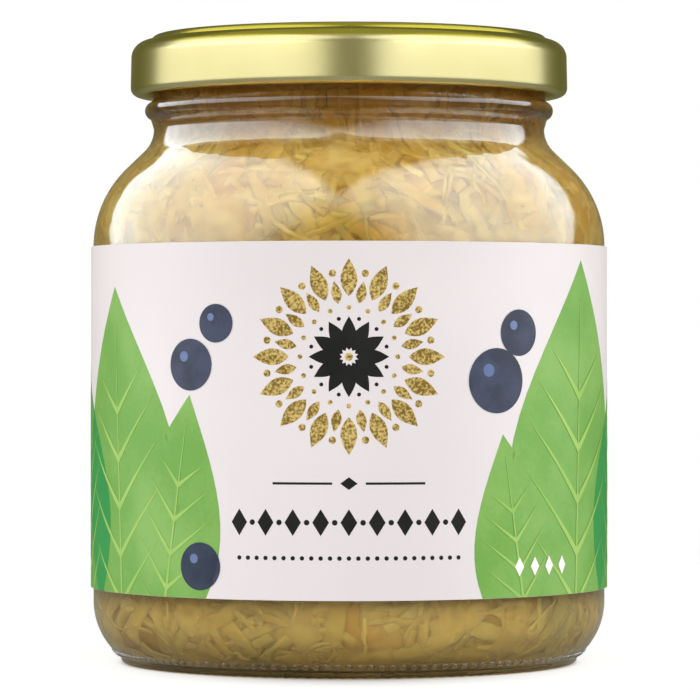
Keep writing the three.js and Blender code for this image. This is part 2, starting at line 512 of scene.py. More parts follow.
@dataclass(frozen=True)
class LacquerFinish:
    """Gold lacquer on tinplate, with rolled sheet's grain and painted shade: a deeper tone painted on the top
    ring's side and where the surface is seen aslant, standing in for darker reflections.

    The painted shade on the ring starts at a distance from the axis and at a height, both in metres.
    """

    name: str
    colour: Colour
    dull_colour: Colour
    painted_shade_colour: Colour
    roughness: float
    band_radius: float = 0.0303
    band_height: float = 0.0963
    ring_shade_share: float = 0.9
    grain_scale: float = 900.0
    cloud_scale: float = 60.0

    def build(self) -> bpy.types.Material:
        """Makes the material."""
        material, graph = new_material(self.name)
        place = object_place(graph)
        grain = noise(graph, object_place(graph, (1.0, 1.0, 9.0)), self.grain_scale, 4.0)
        cloud = noise(graph, place, self.cloud_scale)
        colour = graph.blend(graph.remap(cloud, 0.35, 0.7, 0.0, 1.0), self.colour, self.dull_colour)
        aslant = graph.node("ShaderNodeLayerWeight", None, {"Blend": 0.5}).out("Facing")
        _, _, height = parts_of(graph, place)
        flat = graph.vector("LENGTH", graph.vector("MULTIPLY", place, (1.0, 1.0, 0.0)), output="Value")
        outer = graph.remap(flat, self.band_radius, self.band_radius + 0.0006, 0.0, 1.0)
        ring_shade = outer * graph.remap(height, self.band_height, self.band_height + 0.0004, 0.0, self.ring_shade_share)
        # Painted shade: the ring's side and the aslant edges take the deeper colour, standing in for darker
        # reflections.
        deep = graph.maths("MAXIMUM", ring_shade, graph.remap(aslant, 0.5, 0.8, 0.0, 1.0))
        finish_surface(graph, principled(graph, {
            "Base Color": graph.blend(deep, colour, self.painted_shade_colour),
            "Metallic": 1.0,
            "Roughness": self.roughness + 0.1 * (grain - 0.5),
            "Coat Weight": 0.12,
            "Coat Roughness": 0.15,
            "Normal": bumped(graph, grain, 0.05, 0.0001),
        }))
        return material


@dataclass(frozen=True)
class PaperFinish:
    """Coated paper, white or printed, with soft washes of a second tone."""

    name: str
    colour: Colour
    wash: Colour
    wash_scale: float
    roughness: float = 0.5
    fibre_scale: float = 1800.0

    def build(self) -> bpy.types.Material:
        """Makes the material."""
        material, graph = new_material(self.name)
        place = object_place(graph)
        cloud = noise(graph, place, self.wash_scale, 4.0)
        fibre = noise(graph, place, self.fibre_scale, 3.0)
        share = graph.remap(0.85 * cloud + 0.15 * fibre, 0.36, 0.64, 0.0, 1.0)
        finish_surface(graph, principled(graph, {
            "Base Color": graph.blend(share, self.colour, self.wash),
            "Roughness": self.roughness,
            "Specular IOR Level": 0.35,
            "Normal": bumped(graph, fibre, 0.06, 0.00005),
        }))
        return material


@dataclass(frozen=True)
class FoilFinish:
    """Stamped metal foil, speckled light and dark."""

    name: str
    light: Colour
    dark: Colour
    speck_scale: float = 2600.0
    cloud_scale: float = 420.0

    def build(self) -> bpy.types.Material:
        """Makes the material."""
        material, graph = new_material(self.name)
        place = object_place(graph)
        speck = noise(graph, place, self.speck_scale)
        cloud = noise(graph, place, self.cloud_scale)
        share = graph.remap(0.7 * speck + 0.3 * cloud, 0.4, 0.6, 0.0, 1.0)
        finish_surface(graph, principled(graph, {
            "Base Color": graph.blend(share, self.dark, self.light),
            "Metallic": 0.55,
            "Roughness": 0.38,
            "Normal": bumped(graph, speck, 0.3, 0.0001),
        }))
        return material


def arc(centre: Point, radius: float, start: float, end: float, steps: int) -> list[Point]:
    """Points of an arc in a turned profile.

    Args:
        centre: Its middle, as distance from the axis and height.
        radius: Its radius.
        start: The first angle in degrees: 0 points outwards and 90 up.
        end: The last angle.
        steps: The number of steps between them.

    Returns:
        The points, both ends among them.
    """
    turns = [math.radians(start + (end - start) * i / steps) for i in range(steps + 1)]
    return [(centre[0] + radius * math.cos(t), centre[1] + radius * math.sin(t)) for t in turns]


def even(profile: Sequence[Point], spacing: float) -> list[Point]:
    """The same outline with points added so that none are further apart than spacing.

    Args:
        profile: The outline's points.
        spacing: The greatest step.

    Returns:
        The fuller outline.
    """
    fuller = [profile[0]]
    for start, end in zip(profile, profile[1:]):
        steps = max(1, math.ceil(math.dist(start, end) / spacing))
        fuller += [
            (start[0] + (end[0] - start[0]) * i / steps, start[1] + (end[1] - start[1]) * i / steps)
            for i in range(1, steps + 1)
        ]
    return fuller


def new_object(name: str, vertices: Sequence[Sequence[float]], faces: Sequence[Sequence[int]],
               sharp: float = 35.0) -> bpy.types.Object:
    """A mesh object from vertices in millimetres, smooth but for its sharp edges.

    Args:
        name: Its name.
        vertices: The vertices.
        faces: The faces, as vertex numbers.
        sharp: The angle in degrees above which an edge stays sharp.

    Returns:
        The object, in the scene.
    """
    mesh = bpy.data.meshes.new(name)
    mesh.from_pydata([[value * MM for value in vertex] for vertex in vertices], [], faces)
    mesh.shade_smooth()
    mesh.set_sharp_from_angle(angle=math.radians(sharp))
    piece = bpy.data.objects.new(name, mesh)
    bpy.context.scene.collection.objects.link(piece)
    return piece


def turned(name: str, profile: Sequence[Point], steps: int = ROUND_STEPS, closed: bool = False,
           sharp: float = 35.0) -> bpy.types.Object:
    """A profile turned round the axis.

    Args:
        name: The piece's name.
        profile: Points from the axis outwards, up the outside and back; the solid lies on their left.
        steps: The number of steps round.
        closed: Whether the profile is a loop that never meets the axis.
        sharp: The angle in degrees above which an edge stays sharp.

    Returns:
        The piece.
    """
    vertices: list[tuple[float, float, float]] = []
    rings: list[list[int]] = []
    for radius, height in profile:
        first = len(vertices)
        if radius < 1e-6:
            vertices.append((0.0, 0.0, height))
            rings.append([first] * steps)
            continue
        for i in range(steps):
            turn = FULL_TURN * i / steps
            vertices.append((radius * math.cos(turn), radius * math.sin(turn), height))
        rings.append([first + i for i in range(steps)])
    faces = []
    pairs = list(zip(rings, rings[1:] + rings[:1]))
    for lower, upper in pairs if closed else pairs[:-1]:
        for i in range(steps):
            j = (i + 1) % steps
            corners = [lower[i], lower[j], upper[j], upper[i]]
            faces.append(list(dict.fromkeys(corners)))
    return new_object(name, vertices, faces, sharp)


class Recipe:
    """A Geometry Nodes tree built in the script, and the way it is run on a piece."""

    def __init__(self, name: str, sizes: Mapping[str, str]) -> None:
        """Starts a tree with a geometry input and named inputs.

        Args:
            name: The tree's name.
            sizes: The name and socket type of each further input.
        """
        self.tree = bpy.data.node_groups.new(name, "GeometryNodeTree")
        self.graph = Graph(self.tree)
        face = self.tree.interface
        face.new_socket("Geometry", in_out="INPUT", socket_type="NodeSocketGeometry")
        face.new_socket("Geometry", in_out="OUTPUT", socket_type="NodeSocketGeometry")
        self.keys = {
            key: face.new_socket(key, in_out="INPUT", socket_type=kind).identifier
            for key, kind in {**sizes, "Finish": "NodeSocketMaterial"}.items()
        }
        self.given = self.graph.node("NodeGroupInput")

    def size(self, key: str) -> Signal:
        """One of the named inputs."""
        return self.given.out(key)

    def end(self, geometry: Signal) -> None:
        """Realizes the instances, sets the finish and closes the tree.

        Args:
            geometry: What the tree has made.
        """
        real = self.graph.node("GeometryNodeRealizeInstances", None, {0: geometry}).out()
        inputs = {"Geometry": real, "Material": self.size("Finish")}
        dressed = self.graph.node("GeometryNodeSetMaterial", None, inputs).out()
        self.graph.node("NodeGroupOutput", None, {0: dressed})

    def run(self, piece: bpy.types.Object, name: str, values: Mapping[str, Any]) -> bpy.types.Object:
        """Runs the tree on a piece and keeps the result as a plain mesh in its place.

        Args:
            piece: What goes in; it is used up.
            name: The name of the result.
            values: A value for each named input.

        Returns:
            The new piece.
        """
        modifier = piece.modifiers.new("recipe", "NODES")
        modifier.node_group = self.tree
        for key, value in values.items():
            modifier[self.keys[key]] = value
        bpy.context.view_layer.update()
        ready = piece.evaluated_get(bpy.context.evaluated_depsgraph_get())
        mesh = bpy.data.meshes.new_from_object(ready)
        piece.modifiers.remove(modifier)
        remove(piece)
        mesh.name = name
        result = bpy.data.objects.new(name, mesh)
        bpy.context.scene.collection.objects.link(result)
        return result


def remove(piece: bpy.types.Object) -> None:
    """Deletes a helper object and its data."""
    data = piece.data
    bpy.data.objects.remove(piece)
    if isinstance(data, bpy.types.Mesh):
        bpy.data.meshes.remove(data)


def place_on(piece: bpy.types.Object, slot: str, node: str | None = None) -> None:
    """Joins a finished piece to the frame.

    Args:
        piece: The piece.
        slot: The record's material slot; not used.
        node: The CAD node that it stands for, if any.
    """
    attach(piece, BODY)
    if node:
        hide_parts(node)
    log.info("%s: %d faces", piece.name, len(piece.data.polygons))


def set_finish(piece: bpy.types.Object, material: bpy.types.Material) -> None:
    """Gives a piece one material."""
    piece.data.materials.clear()
    piece.data.materials.append(material)


def knurl_recipe() -> Recipe:
    """The row of shallow knurls pressed into the ring that the glass stands on.

    Returns:
        The tree, which lifts the ring between its knurls.
    """
    recipe = Recipe("knurled ring", {
        "Count": "NodeSocketFloat",
        "Depth": "NodeSocketFloat",
        "Inner radius": "NodeSocketFloat",
        "Outer radius": "NodeSocketFloat",
    })
    graph = recipe.graph
    place = graph.node("GeometryNodeInputPosition").out()
    x, y, z = parts_of(graph, place)
    radius = graph.maths("SQRT", x * x + y * y)
    middle = (recipe.size("Inner radius") + recipe.size("Outer radius")) * 0.5
    half = (recipe.size("Outer radius") - recipe.size("Inner radius")) * 0.5
    off = graph.maths("ABSOLUTE", (radius - middle) / half)
    highest = 0.9 * MM
    inside = graph.remap(off, 0.75, 1.0, 1.0, 0.0) * graph.maths("LESS_THAN", z, highest)
    turn = graph.maths("ARCTAN2", y, x)
    bow = off * off * 0.8
    wave = graph.maths("COSINE", turn * recipe.size("Count") + bow)
    valley = graph.remap(wave, -0.5, 0.5, 1.0, 0.0)
    lift = vector_from(graph, 0.0, 0.0, valley * inside * recipe.size("Depth"))
    inputs = {"Geometry": recipe.given.out(0), "Offset": lift}
    recipe.end(graph.node("GeometryNodeSetPosition", None, inputs).out())
    return recipe


@dataclass
class Jar:
    """The glass jar."""

    body_radius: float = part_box("jar")[1].x / MM
    mouth_top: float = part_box("jar")[1].z / MM
    wall: float = 2.2
    contact_inner: float = 32.2
    contact_outer: float = 35.1
    foot_radius: float = 36.0
    punt_edge: Point = (30.6, 1.3)
    punt_height: float = 2.2
    punt_curve: float = 60.0
    heel_radius: float = 11.2
    heel_top: float = 9.8
    shoulder_radius: float = 17.0
    shoulder_start: float = 65.5
    shoulder_tilt: float = 46.0
    neck_radius: float = 30.8
    neck_bend: float = 4.9
    bead: Point = (30.8, 86.85)
    bead_radius: float = 1.4
    mouth_radius: float = 31.0
    mouth_rounding: float = 0.9
    floor_height: float = 3.2
    floor_rise: float = 1.4
    inner_heel: float = 6.2
    knurls: int = 130
    knurl_steps: int = 5
    knurl_depth: float = 0.3
    dots: int = 142
    dot_height: float = 1.8
    dot_radius: float = 0.42
    dot_bead: float = 0.17
    dot_steps: int = 14
    dot_sides: int = 8

    def shoulder(self, inset: float, steps: int) -> list[Point]:
        """Shoulder, its straight run and the neck bend, a distance inside the outer face.

        Args:
            inset: The distance.
            steps: Steps in each of the two arcs.

        Returns:
            The points, from the body up.
        """
        tilt = math.radians(self.shoulder_tilt)
        round_middle = (self.body_radius - self.shoulder_radius, self.shoulder_start)
        reach = self.shoulder_radius + self.neck_bend
        bend_radius = self.neck_radius + self.neck_bend
        run = (reach * math.cos(tilt) - (bend_radius - round_middle[0])) / math.sin(tilt)
        bend_middle = (bend_radius, self.shoulder_start + reach * math.sin(tilt) + run * math.cos(tilt))
        lower = arc(round_middle, self.shoulder_radius - inset, 0, self.shoulder_tilt, steps)
        upper = arc(bend_middle, self.neck_bend + inset, 180 + self.shoulder_tilt, 180, steps)
        return lower + upper

    def hollow(self, inset: float, steps: int = 14) -> list[Point]:
        """The wall of the hollow from the edge of its floor up to the neck.

        Args:
            inset: The distance in from the glass, or into it where negative.
            steps: Steps in each arc.

        Returns:
            The points, from the floor up.
        """
        middle = (self.body_radius - self.wall - self.inner_heel, self.floor_height + self.inner_heel)
        return arc(middle, self.inner_heel - inset, -90, 0, steps) + self.shoulder(self.wall + inset, steps)

    def outside(self) -> list[Point]:
        """The outer face, from the middle of the underside to the rim."""
        heel = (self.body_radius - self.heel_radius, self.heel_top)
        foot = -math.degrees(math.acos((self.foot_radius - heel[0]) / self.heel_radius))
        rounding = self.foot_radius - self.contact_outer
        rim = (self.mouth_radius - self.mouth_rounding, self.mouth_top - self.mouth_rounding)
        ring = even([(self.contact_inner, 0.0), (self.contact_outer, 0.0)], 0.25)
        neck_top = self.bead[1] + self.bead_radius
        return [
            (0.0, self.punt_height),
            *arc((0.0, self.punt_height - self.punt_curve), self.punt_curve, 90, 75, 5)[1:3],
            self.punt_edge,
            (self.contact_inner - 0.7, 0.35),
            *ring,
            *arc((self.contact_outer, rounding), rounding, -90, -8, 6)[1:],
            *arc(heel, self.heel_radius, foot, 0, 16),
            *self.shoulder(0.0, 18),
            *arc(self.bead, self.bead_radius, -70, 62, 12),
            (self.mouth_radius, neck_top + 0.15),
            (self.mouth_radius, neck_top + 2.0),
            *arc(rim, self.mouth_rounding, 0, 90, 5),
        ]

    def build(self, glass: bpy.types.Material) -> None:
        """Makes the jar.

        Args:
            glass: Its finish.
        """
        inner = self.neck_radius - self.wall
        rim = (inner + self.mouth_rounding, self.mouth_top - self.mouth_rounding)
        inside = [(0.0, self.floor_height + self.floor_rise), *self.hollow(0.0)]
        profile = [*self.outside(), *arc(rim, self.mouth_rounding, 90, 180, 5), *reversed(inside)]
        blank = turned("jar blank", profile, self.knurl_steps * self.knurls, sharp=60.0)
        jar = knurl_recipe().run(blank, "jar_glass", {
            "Count": float(self.knurls),
            "Depth": self.knurl_depth * MM,
            "Inner radius": (self.contact_inner - 0.3) * MM,
            "Outer radius": (self.contact_outer + 0.5) * MM,
            "Finish": glass,
        })
        place_on(jar, "glass", "jar")
        dots = ring_recipe().run(self.dot(), "jar_dots", {
            "Count": self.dots,
            "Radius": 0.0,
            "Start": math.pi / self.dots,
            "Finish": glass,
        })
        place_on(dots, "glass")

    def dot(self) -> bpy.types.Object:
        """One small ring of glass on the heel, at the +X side.

        Returns:
            The ring.
        """
        middle = (self.body_radius - self.heel_radius, self.heel_top)
        slope = math.asin((self.dot_height - middle[1]) / self.heel_radius)
        out = Vector((math.cos(slope), 0.0, math.sin(slope)))
        up = Vector((-math.sin(slope), 0.0, math.cos(slope)))
        centre = Vector((middle[0], 0.0, middle[1])) + out * self.heel_radius
        steps, sides = self.dot_steps, self.dot_sides
        vertices, faces = [], []
        for i in range(steps):
            turn = FULL_TURN * i / steps
            spoke = up * math.cos(turn) + Vector((0.0, 1.0, 0.0)) * math.sin(turn)
            for k in range(sides):
                tilt = FULL_TURN * k / sides
                reach = self.dot_radius + self.dot_bead * math.cos(tilt)
                vertices.append(centre + spoke * reach + out * self.dot_bead * math.sin(tilt))
                a, b = i * sides + k, i * sides + (k + 1) % sides
                c, d = (i + 1) % steps * sides + (k + 1) % sides, (i + 1) % steps * sides + k
                faces.append([a, b, c, d])
        return new_object("dot blank", vertices, faces, 180.0)


def shred_recipe() -> Recipe:
    """Shreds strewn over the unrolled wall, bent by noise and then rolled onto it.

    Returns:
        The tree. Its input geometry is the wall's profile, as a chain of edges.
    """
    recipe = Recipe("packed shreds", {
        "Width round": "NodeSocketFloat",
        "Lowest": "NodeSocketFloat",
        "Highest": "NodeSocketFloat",
        "Number": "NodeSocketFloat",
        "Length": "NodeSocketFloat",
        "Width": "NodeSocketFloat",
        "Thickness": "NodeSocketFloat",
        "Shallowest": "NodeSocketFloat",
        "Deepest": "NodeSocketFloat",
        "Curl": "NodeSocketFloat",
        "Steps": "NodeSocketInt",
        "Sides": "NodeSocketInt",
        "Seed": "NodeSocketInt",
    })
    graph = recipe.graph
    size = recipe.size
    tall = size("Highest") - size("Lowest")
    sheet_inputs = {"Size X": size("Width round"), "Size Y": tall, "Vertices X": 2, "Vertices Y": 2}
    sheet = graph.node("GeometryNodeMeshGrid", None, sheet_inputs).out("Mesh")
    middle = vector_from(graph, 0.0, (size("Highest") + size("Lowest")) * 0.5, 0.0)
    sheet = graph.node("GeometryNodeSetPosition", None, {"Geometry": sheet, "Offset": middle}).out()
    density = size("Number") / (size("Width round") * tall)
    scatter = {"Mesh": sheet, "Density": density, "Seed": size("Seed")}
    points = graph.node("GeometryNodeDistributePointsOnFaces", None, scatter).out("Points")

    def drawn(low: Any, high: Any, offset: int) -> Signal:
        """A random number for each shred.

        Args:
            low: The least.
            high: The greatest.
            offset: Sets this draw apart from the others.

        Returns:
            The number.
        """
        inputs = {2: low, 3: high, "Seed": size("Seed") + offset}
        return graph.node("FunctionNodeRandomValue", {"data_type": "FLOAT"}, inputs).out(1)

    depth = vector_from(graph, 0.0, 0.0, drawn(size("Shallowest"), size("Deepest"), 1))
    points = graph.node("GeometryNodeSetPosition", None, {"Geometry": points, "Offset": depth}).out()
    line_inputs = {"Start": (-0.5, 0, 0), "End": (0.5, 0, 0)}
    line = graph.node("GeometryNodeCurvePrimitiveLine", None, line_inputs).out()
    line = graph.node("GeometryNodeResampleCurve", None, {"Curve": line, "Count": size("Steps")}).out()
    along = graph.node("GeometryNodeSplineParameter").out("Factor")
    from_middle = graph.maths("ABSOLUTE", along - 0.5) * 2.0
    taper = graph.remap(from_middle, 0.45, 1.0, 1.0, 0.35)
    line = graph.node("GeometryNodeSetCurveRadius", None, {"Curve": line, "Radius": taper}).out()
    ring = graph.node("GeometryNodeCurvePrimitiveCircle", None, {"Resolution": size("Sides"), "Radius": 0.5})
    ring = graph.node("GeometryNodeTransform", None, {"Geometry": ring.out(), "Scale": (1.0, 0.5, 1.0)}).out()
    bar_inputs = {"Curve": line, "Profile Curve": ring, "Fill Caps": True}
    bar = graph.node("GeometryNodeCurveToMesh", None, bar_inputs).out()
    spin = vector_from(graph, drawn(-0.4, 0.4, 5), 0.0, drawn(-math.pi, math.pi, 2))
    scale = vector_from(
        graph,
        size("Length") * drawn(0.55, 1.35, 3),
        size("Width") * drawn(0.7, 1.3, 4),
        size("Thickness") * 2.0,
    )
    strewn_inputs = {"Points": points, "Instance": bar, "Rotation": spin, "Scale": scale}
    strewn = graph.node("GeometryNodeInstanceOnPoints", None, strewn_inputs).out()
    tone = {"Geometry": strewn, "Name": "tone", "Value": drawn(0.0, 1.0, 6)}
    strewn = graph.node("GeometryNodeStoreNamedAttribute", {"domain": "INSTANCE"}, tone).out()
    real = graph.node("GeometryNodeRealizeInstances", None, {0: strewn}).out()

    place = graph.node("GeometryNodeInputPosition").out()
    own = graph.node("GeometryNodeInputNamedAttribute", None, {"Name": "tone"}).out()
    wander_inputs = {"Vector": place, "W": own * 40.0, "Scale": 80.0, "Detail": 3.0}
    wander = graph.node("ShaderNodeTexNoise", {"noise_dimensions": "4D"}, wander_inputs).out("Color")
    wander = graph.vector("SUBTRACT", wander, (0.5, 0.5, 0.5))
    reach = vector_from(graph, size("Curl"), size("Curl"), size("Thickness") * 1.2)
    bent = graph.vector("MULTIPLY", wander, reach)
    real = graph.node("GeometryNodeSetPosition", None, {"Geometry": real, "Offset": bent}).out()

    profile = graph.node("GeometryNodeMeshToCurve", None, {0: recipe.given.out(0)}).out()
    x, y, z = parts_of(graph, place)
    sample_inputs = {"Curves": profile, "Length": y}
    sample = graph.node("GeometryNodeSampleCurve", {"mode": "LENGTH"}, sample_inputs)
    at_x, _, at_z = parts_of(graph, sample.out("Position"))
    way_x, _, way_z = parts_of(graph, sample.out("Tangent"))
    least_depth = 0.12 * MM
    depth_in = graph.maths("MAXIMUM", z, least_depth)
    radius = at_x - way_z * depth_in
    height = at_z + way_x * depth_in
    angle = x / size("Width round") * FULL_TURN
    rolled = vector_from(
        graph, radius * graph.maths("COSINE", angle), radius * graph.maths("SINE", angle), height
    )
    real = graph.node("GeometryNodeSetPosition", None, {"Geometry": real, "Position": rolled}).out()
    real = graph.node("GeometryNodeFlipFaces", None, {0: real}).out()
    smooth = graph.node("GeometryNodeSetShadeSmooth", None, {0: real}).out()
    recipe.end(smooth)
    return recipe


def crag_recipe() -> Recipe:
    """Low lumps and strands over a surface, pushed in and out along its normals.

    Returns:
        The tree.
    """
    recipe = Recipe("lumpy surface", {"Depth": "NodeSocketFloat", "Scale": "NodeSocketFloat"})
    graph = recipe.graph
    place = graph.node("GeometryNodeInputPosition").out()
    cloud = noise(graph, place, recipe.size("Scale"), 3.0)
    height = (cloud - 0.5) * recipe.size("Depth") * 2.0
    normal = graph.node("GeometryNodeInputNormal").out()
    lift = graph.node("ShaderNodeVectorMath", {"operation": "SCALE"}, {0: normal, "Scale": height}).out()
    inputs = {"Geometry": recipe.given.out(0), "Offset": lift}
    recipe.end(graph.node("GeometryNodeSetPosition", None, inputs).out())
    return recipe


@dataclass(frozen=True)
class ShredKind:
    """One size of shred: how many, its lengths in millimetres, and how finely it is made."""

    name: str
    number: float
    length: float
    width: float
    thickness: float
    shallowest: float
    deepest: float
    curl: float
    steps: int
    sides: int
    seed: int


@dataclass
class Cabbage:
    """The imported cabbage: a rough core and the shreds that lie against the glass."""

    jar: Jar
    fill_height: float = 92.8
    core_depth: float = 1.5
    crag_depth: float = 0.5
    crag_scale: float = 330.0
    floor_start: float = 9.0
    kinds: tuple[ShredKind, ...] = (
        ShredKind("shreds_broad", 800.0, 14.0, 3.2, 0.55, 0.4, 1.3, 9.0, 12, 8, 3),
        ShredKind("shreds_middling", 1200.0, 12.0, 2.1, 0.5, 0.35, 1.2, 9.0, 11, 6, 11),
        ShredKind("shreds_fine", 700.0, 8.0, 0.8, 0.4, 0.2, 0.6, 9.0, 11, 6, 29),
        ShredKind("shreds_crumbs", 1200.0, 2.6, 1.2, 0.4, 0.2, 0.6, 3.0, 5, 6, 41),
    )

    def core(self) -> list[Point]:
        """The core's profile."""
        wall = self.jar.hollow(self.core_depth)
        neck = wall[-1][0]
        foot = (0.0, self.jar.floor_height + self.jar.floor_rise + 0.6)
        top = [(neck, self.fill_height - 1.5), (neck - 3.0, self.fill_height - 0.4), (0.0, self.fill_height)]
        return even([foot, *wall, *top], 0.9)

    def wall_chain(self) -> list[Point]:
        """The wall's profile, from near the middle of the floor up."""
        start = (self.floor_start, self.jar.floor_height + self.jar.floor_rise * 0.75)
        end = (self.jar.neck_radius - self.jar.wall, self.fill_height)
        return [start, *self.jar.hollow(0.0, 24), end]

    def wall_line(self) -> bpy.types.Object:
        """The wall's profile as a chain of edges."""
        chain = self.wall_chain()
        mesh = bpy.data.meshes.new("wall line")
        edges = [(i, i + 1) for i in range(len(chain) - 1)]
        mesh.from_pydata([(radius * MM, 0.0, height * MM) for radius, height in chain], edges, [])
        line = bpy.data.objects.new("wall line", mesh)
        bpy.context.scene.collection.objects.link(line)
        return line

    def wall_length(self) -> float:
        """The length of the wall's profile."""
        chain = self.wall_chain()
        return sum(math.dist(a, b) for a, b in zip(chain, chain[1:]))

    def build(self, core_finish: bpy.types.Material, shred_finish: bpy.types.Material) -> None:
        """Makes the core and each kind of shred.

        Args:
            core_finish: The finish of the core.
            shred_finish: The finish of the shreds.
        """
        blank = turned("core blank", self.core(), 288, sharp=180.0)
        core = crag_recipe().run(blank, "kraut_core", {
            "Depth": self.crag_depth * MM,
            "Scale": self.crag_scale,
            "Finish": core_finish,
        })
        place_on(core, "kraut", "kraut")
        recipe = shred_recipe()
        length = self.wall_length()
        for kind in self.kinds:
            shreds = recipe.run(self.wall_line(), kind.name, {
                "Width round": FULL_TURN * (self.jar.body_radius - self.jar.wall) * MM,
                "Lowest": 2.0 * MM,
                "Highest": (length - 3.0) * MM,
                "Number": kind.number,
                "Length": kind.length * MM,
                "Width": kind.width * MM,
                "Thickness": kind.thickness * MM,
                "Shallowest": kind.shallowest * MM,
                "Deepest": kind.deepest * MM,
                "Curl": kind.curl * MM,
                "Steps": kind.steps,
                "Sides": kind.sides,
                "Seed": kind.seed,
                "Finish": shred_finish,
            })
            place_on(shreds, "kraut")


@dataclass
class Brine:
    """The liquid round the shreds, which reaches just into the glass."""

    jar: Jar
    level: float = 93.4
    bite: float = 0.12

    def build(self, finish: bpy.types.Material) -> None:
        """Makes the liquid.

        Args:
            finish: Its finish.
        """
        wall = self.jar.hollow(-self.bite)
        neck = wall[-1][0]
        foot = (0.0, self.jar.floor_height + self.jar.floor_rise - self.bite)
        profile = [foot, *wall, (neck, self.level), (0.0, self.level)]
        liquid = turned("brine", profile, sharp=50.0)
        set_finish(liquid, finish)
        place_on(liquid, "brine")


@dataclass
class Lid:
    """The twist-off lid: a pressed shell with a rolled edge, and the lugs inside it."""

    top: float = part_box("lid")[1].z / MM
    curl_outer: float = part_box("lid")[1].x / MM
    sheet: float = 0.4
    skirt: float = 34.35
    curl_size: float = 1.3
    curl_middle: float = 90.45
    ring: float = 31.25
    ring_inner: float = 27.0
    ring_rounding: float = 1.0
    ring_slope: float = 1.2
    step: float = 97.8
    shoulder: float = 2.6
    panel: float = 97.9
    button: float = 9.5
    button_slope: float = 1.0
    button_depth: float = 0.35
    button_dome: float = 0.3
    lugs: int = 4
    lug_span: float = 18.0
    lug_tip: float = 31.6
    lug_thickness: float = 0.9
    lug_bevel: float = 0.3
    lug_hook: float = 0.9
    lug_steps: int = 8

    def curl(self) -> Point:
        """The middle of the rolled edge."""
        return self.curl_outer - self.curl_size, self.curl_middle

    def outside(self) -> list[Point]:
        """The outer face, from the middle of the panel out and down."""
        rim = (self.ring - self.ring_rounding, self.top - self.ring_rounding)
        bend = (self.skirt - self.shoulder, self.step - self.shoulder)
        floor = self.panel - self.button_depth
        dome_shares = (0, 0.3, 0.6, 0.85)
        dome = [(self.button * share, floor + self.button_dome * (1 - share**2)) for share in dome_shares]
        return [
            *dome,
            (self.button - self.button_slope, floor),
            (self.button - self.button_slope * 0.7, floor + 0.03),
            (self.button - self.button_slope * 0.3, self.panel - 0.03),
            (self.button, self.panel),
            (self.ring_inner - self.ring_slope, self.panel),
            (self.ring_inner - self.ring_slope * 0.75, self.panel + 0.06),
            (self.ring_inner - self.ring_slope * 0.25, self.top - 0.06),
            (self.ring_inner + 0.2, self.top),
            *arc(rim, self.ring_rounding, 90, 0, 8),
            (self.ring + 0.1, self.step - 0.05),
            *arc(bend, self.shoulder, 92, 0, 16),
            *arc(self.curl(), self.curl_size, 0, -180, 20),
        ]

    def inside(self) -> list[Point]:
        """The inner face, from the rolled edge back up to the middle."""
        rim = (self.ring - self.ring_rounding, self.top - self.ring_rounding)
        bend = (self.skirt - self.shoulder, self.step - self.shoulder)
        skirt = self.skirt - self.sheet
        floor = self.panel - self.button_depth - self.sheet
        return [
            *arc(self.curl(), self.curl_size, 170, 118, 5),
            (skirt, self.curl_middle + 1.5 * self.curl_size),
            *arc(bend, self.shoulder - self.sheet, 0, 85, 6),
            (self.ring - self.sheet, self.step - self.sheet),
            *arc(rim, self.ring_rounding - self.sheet, 0, 90, 4),
            (self.ring_inner + self.sheet, self.top - self.sheet),
            (self.ring_inner - self.ring_slope + self.sheet, self.panel - self.sheet),
            (self.button, self.panel - self.sheet),
            (self.button - self.button_slope, floor),
            (0.0, floor + self.button_dome),
        ]

    def lug(self) -> bpy.types.Object:
        """One lug, at the +X side of the lid."""
        steps = self.lug_steps
        vertices = []
        for i in range(steps + 1):
            across = 2 * i / steps - 1
            turn = math.radians(self.lug_span / 2) * across
            tip = self.lug_tip + self.lug_hook * across**6
            for radius in (tip, tip + self.lug_bevel, self.curl()[0]):
                drop = self.lug_bevel if radius == tip else 0.0
                for height in (-0.5 * self.lug_thickness + drop, 0.5 * self.lug_thickness - drop):
                    where = (radius * math.cos(turn), radius * math.sin(turn), self.curl_middle + height)
                    vertices.append(where)
        loop = (0, 2, 4, 5, 3, 1)
        faces = [[loop[k] for k in range(6)][::-1], [steps * 6 + loop[k] for k in range(6)]]
        for i in range(steps):
            for k in range(6):
                a, b = i * 6 + loop[k], i * 6 + loop[(k + 1) % 6]
                faces.append([a, b, b + 6, a + 6])
        return new_object("lug blank", vertices, faces, 60.0)

    def build(self, gold: bpy.types.Material) -> None:
        """Makes the shell and its lugs.

        Args:
            gold: Their finish.
        """
        profile = [*self.outside(), *self.inside()]
        shell = turned("lid_shell", list(reversed(profile)), 384, sharp=50.0)
        set_finish(shell, gold)
        place_on(shell, "lid", "lid")
        lugs = ring_recipe().run(self.lug(), "lid_lugs", {
            "Count": self.lugs,
            "Radius": 0.0,
            "Start": math.pi / self.lugs,
            "Finish": gold,
        })
        place_on(lugs, "lid")


def ring_recipe() -> Recipe:
    """Copies of a piece set evenly round a ring in the XY plane, each turned to face outwards.

    Returns:
        The tree.
    """
    recipe = Recipe("ring of pieces", {
        "Count": "NodeSocketInt",
        "Radius": "NodeSocketFloat",
        "Start": "NodeSocketFloat",
    })
    graph = recipe.graph
    points = graph.node("GeometryNodePoints", None, {"Count": recipe.size("Count")}).out()
    number = graph.node("GeometryNodeInputIndex").out()
    turn = number * FULL_TURN / recipe.size("Count") + recipe.size("Start")
    radius = recipe.size("Radius")
    where = vector_from(graph, radius * graph.maths("COSINE", turn), radius * graph.maths("SINE", turn), 0.0)
    points = graph.node("GeometryNodeSetPosition", None, {"Geometry": points, "Position": where}).out()
    facing = vector_from(graph, 0.0, 0.0, turn)
    inputs = {"Points": points, "Instance": recipe.given.out(0), "Rotation": facing}
    recipe.end(graph.node("GeometryNodeInstanceOnPoints", None, inputs).out())
    return recipe


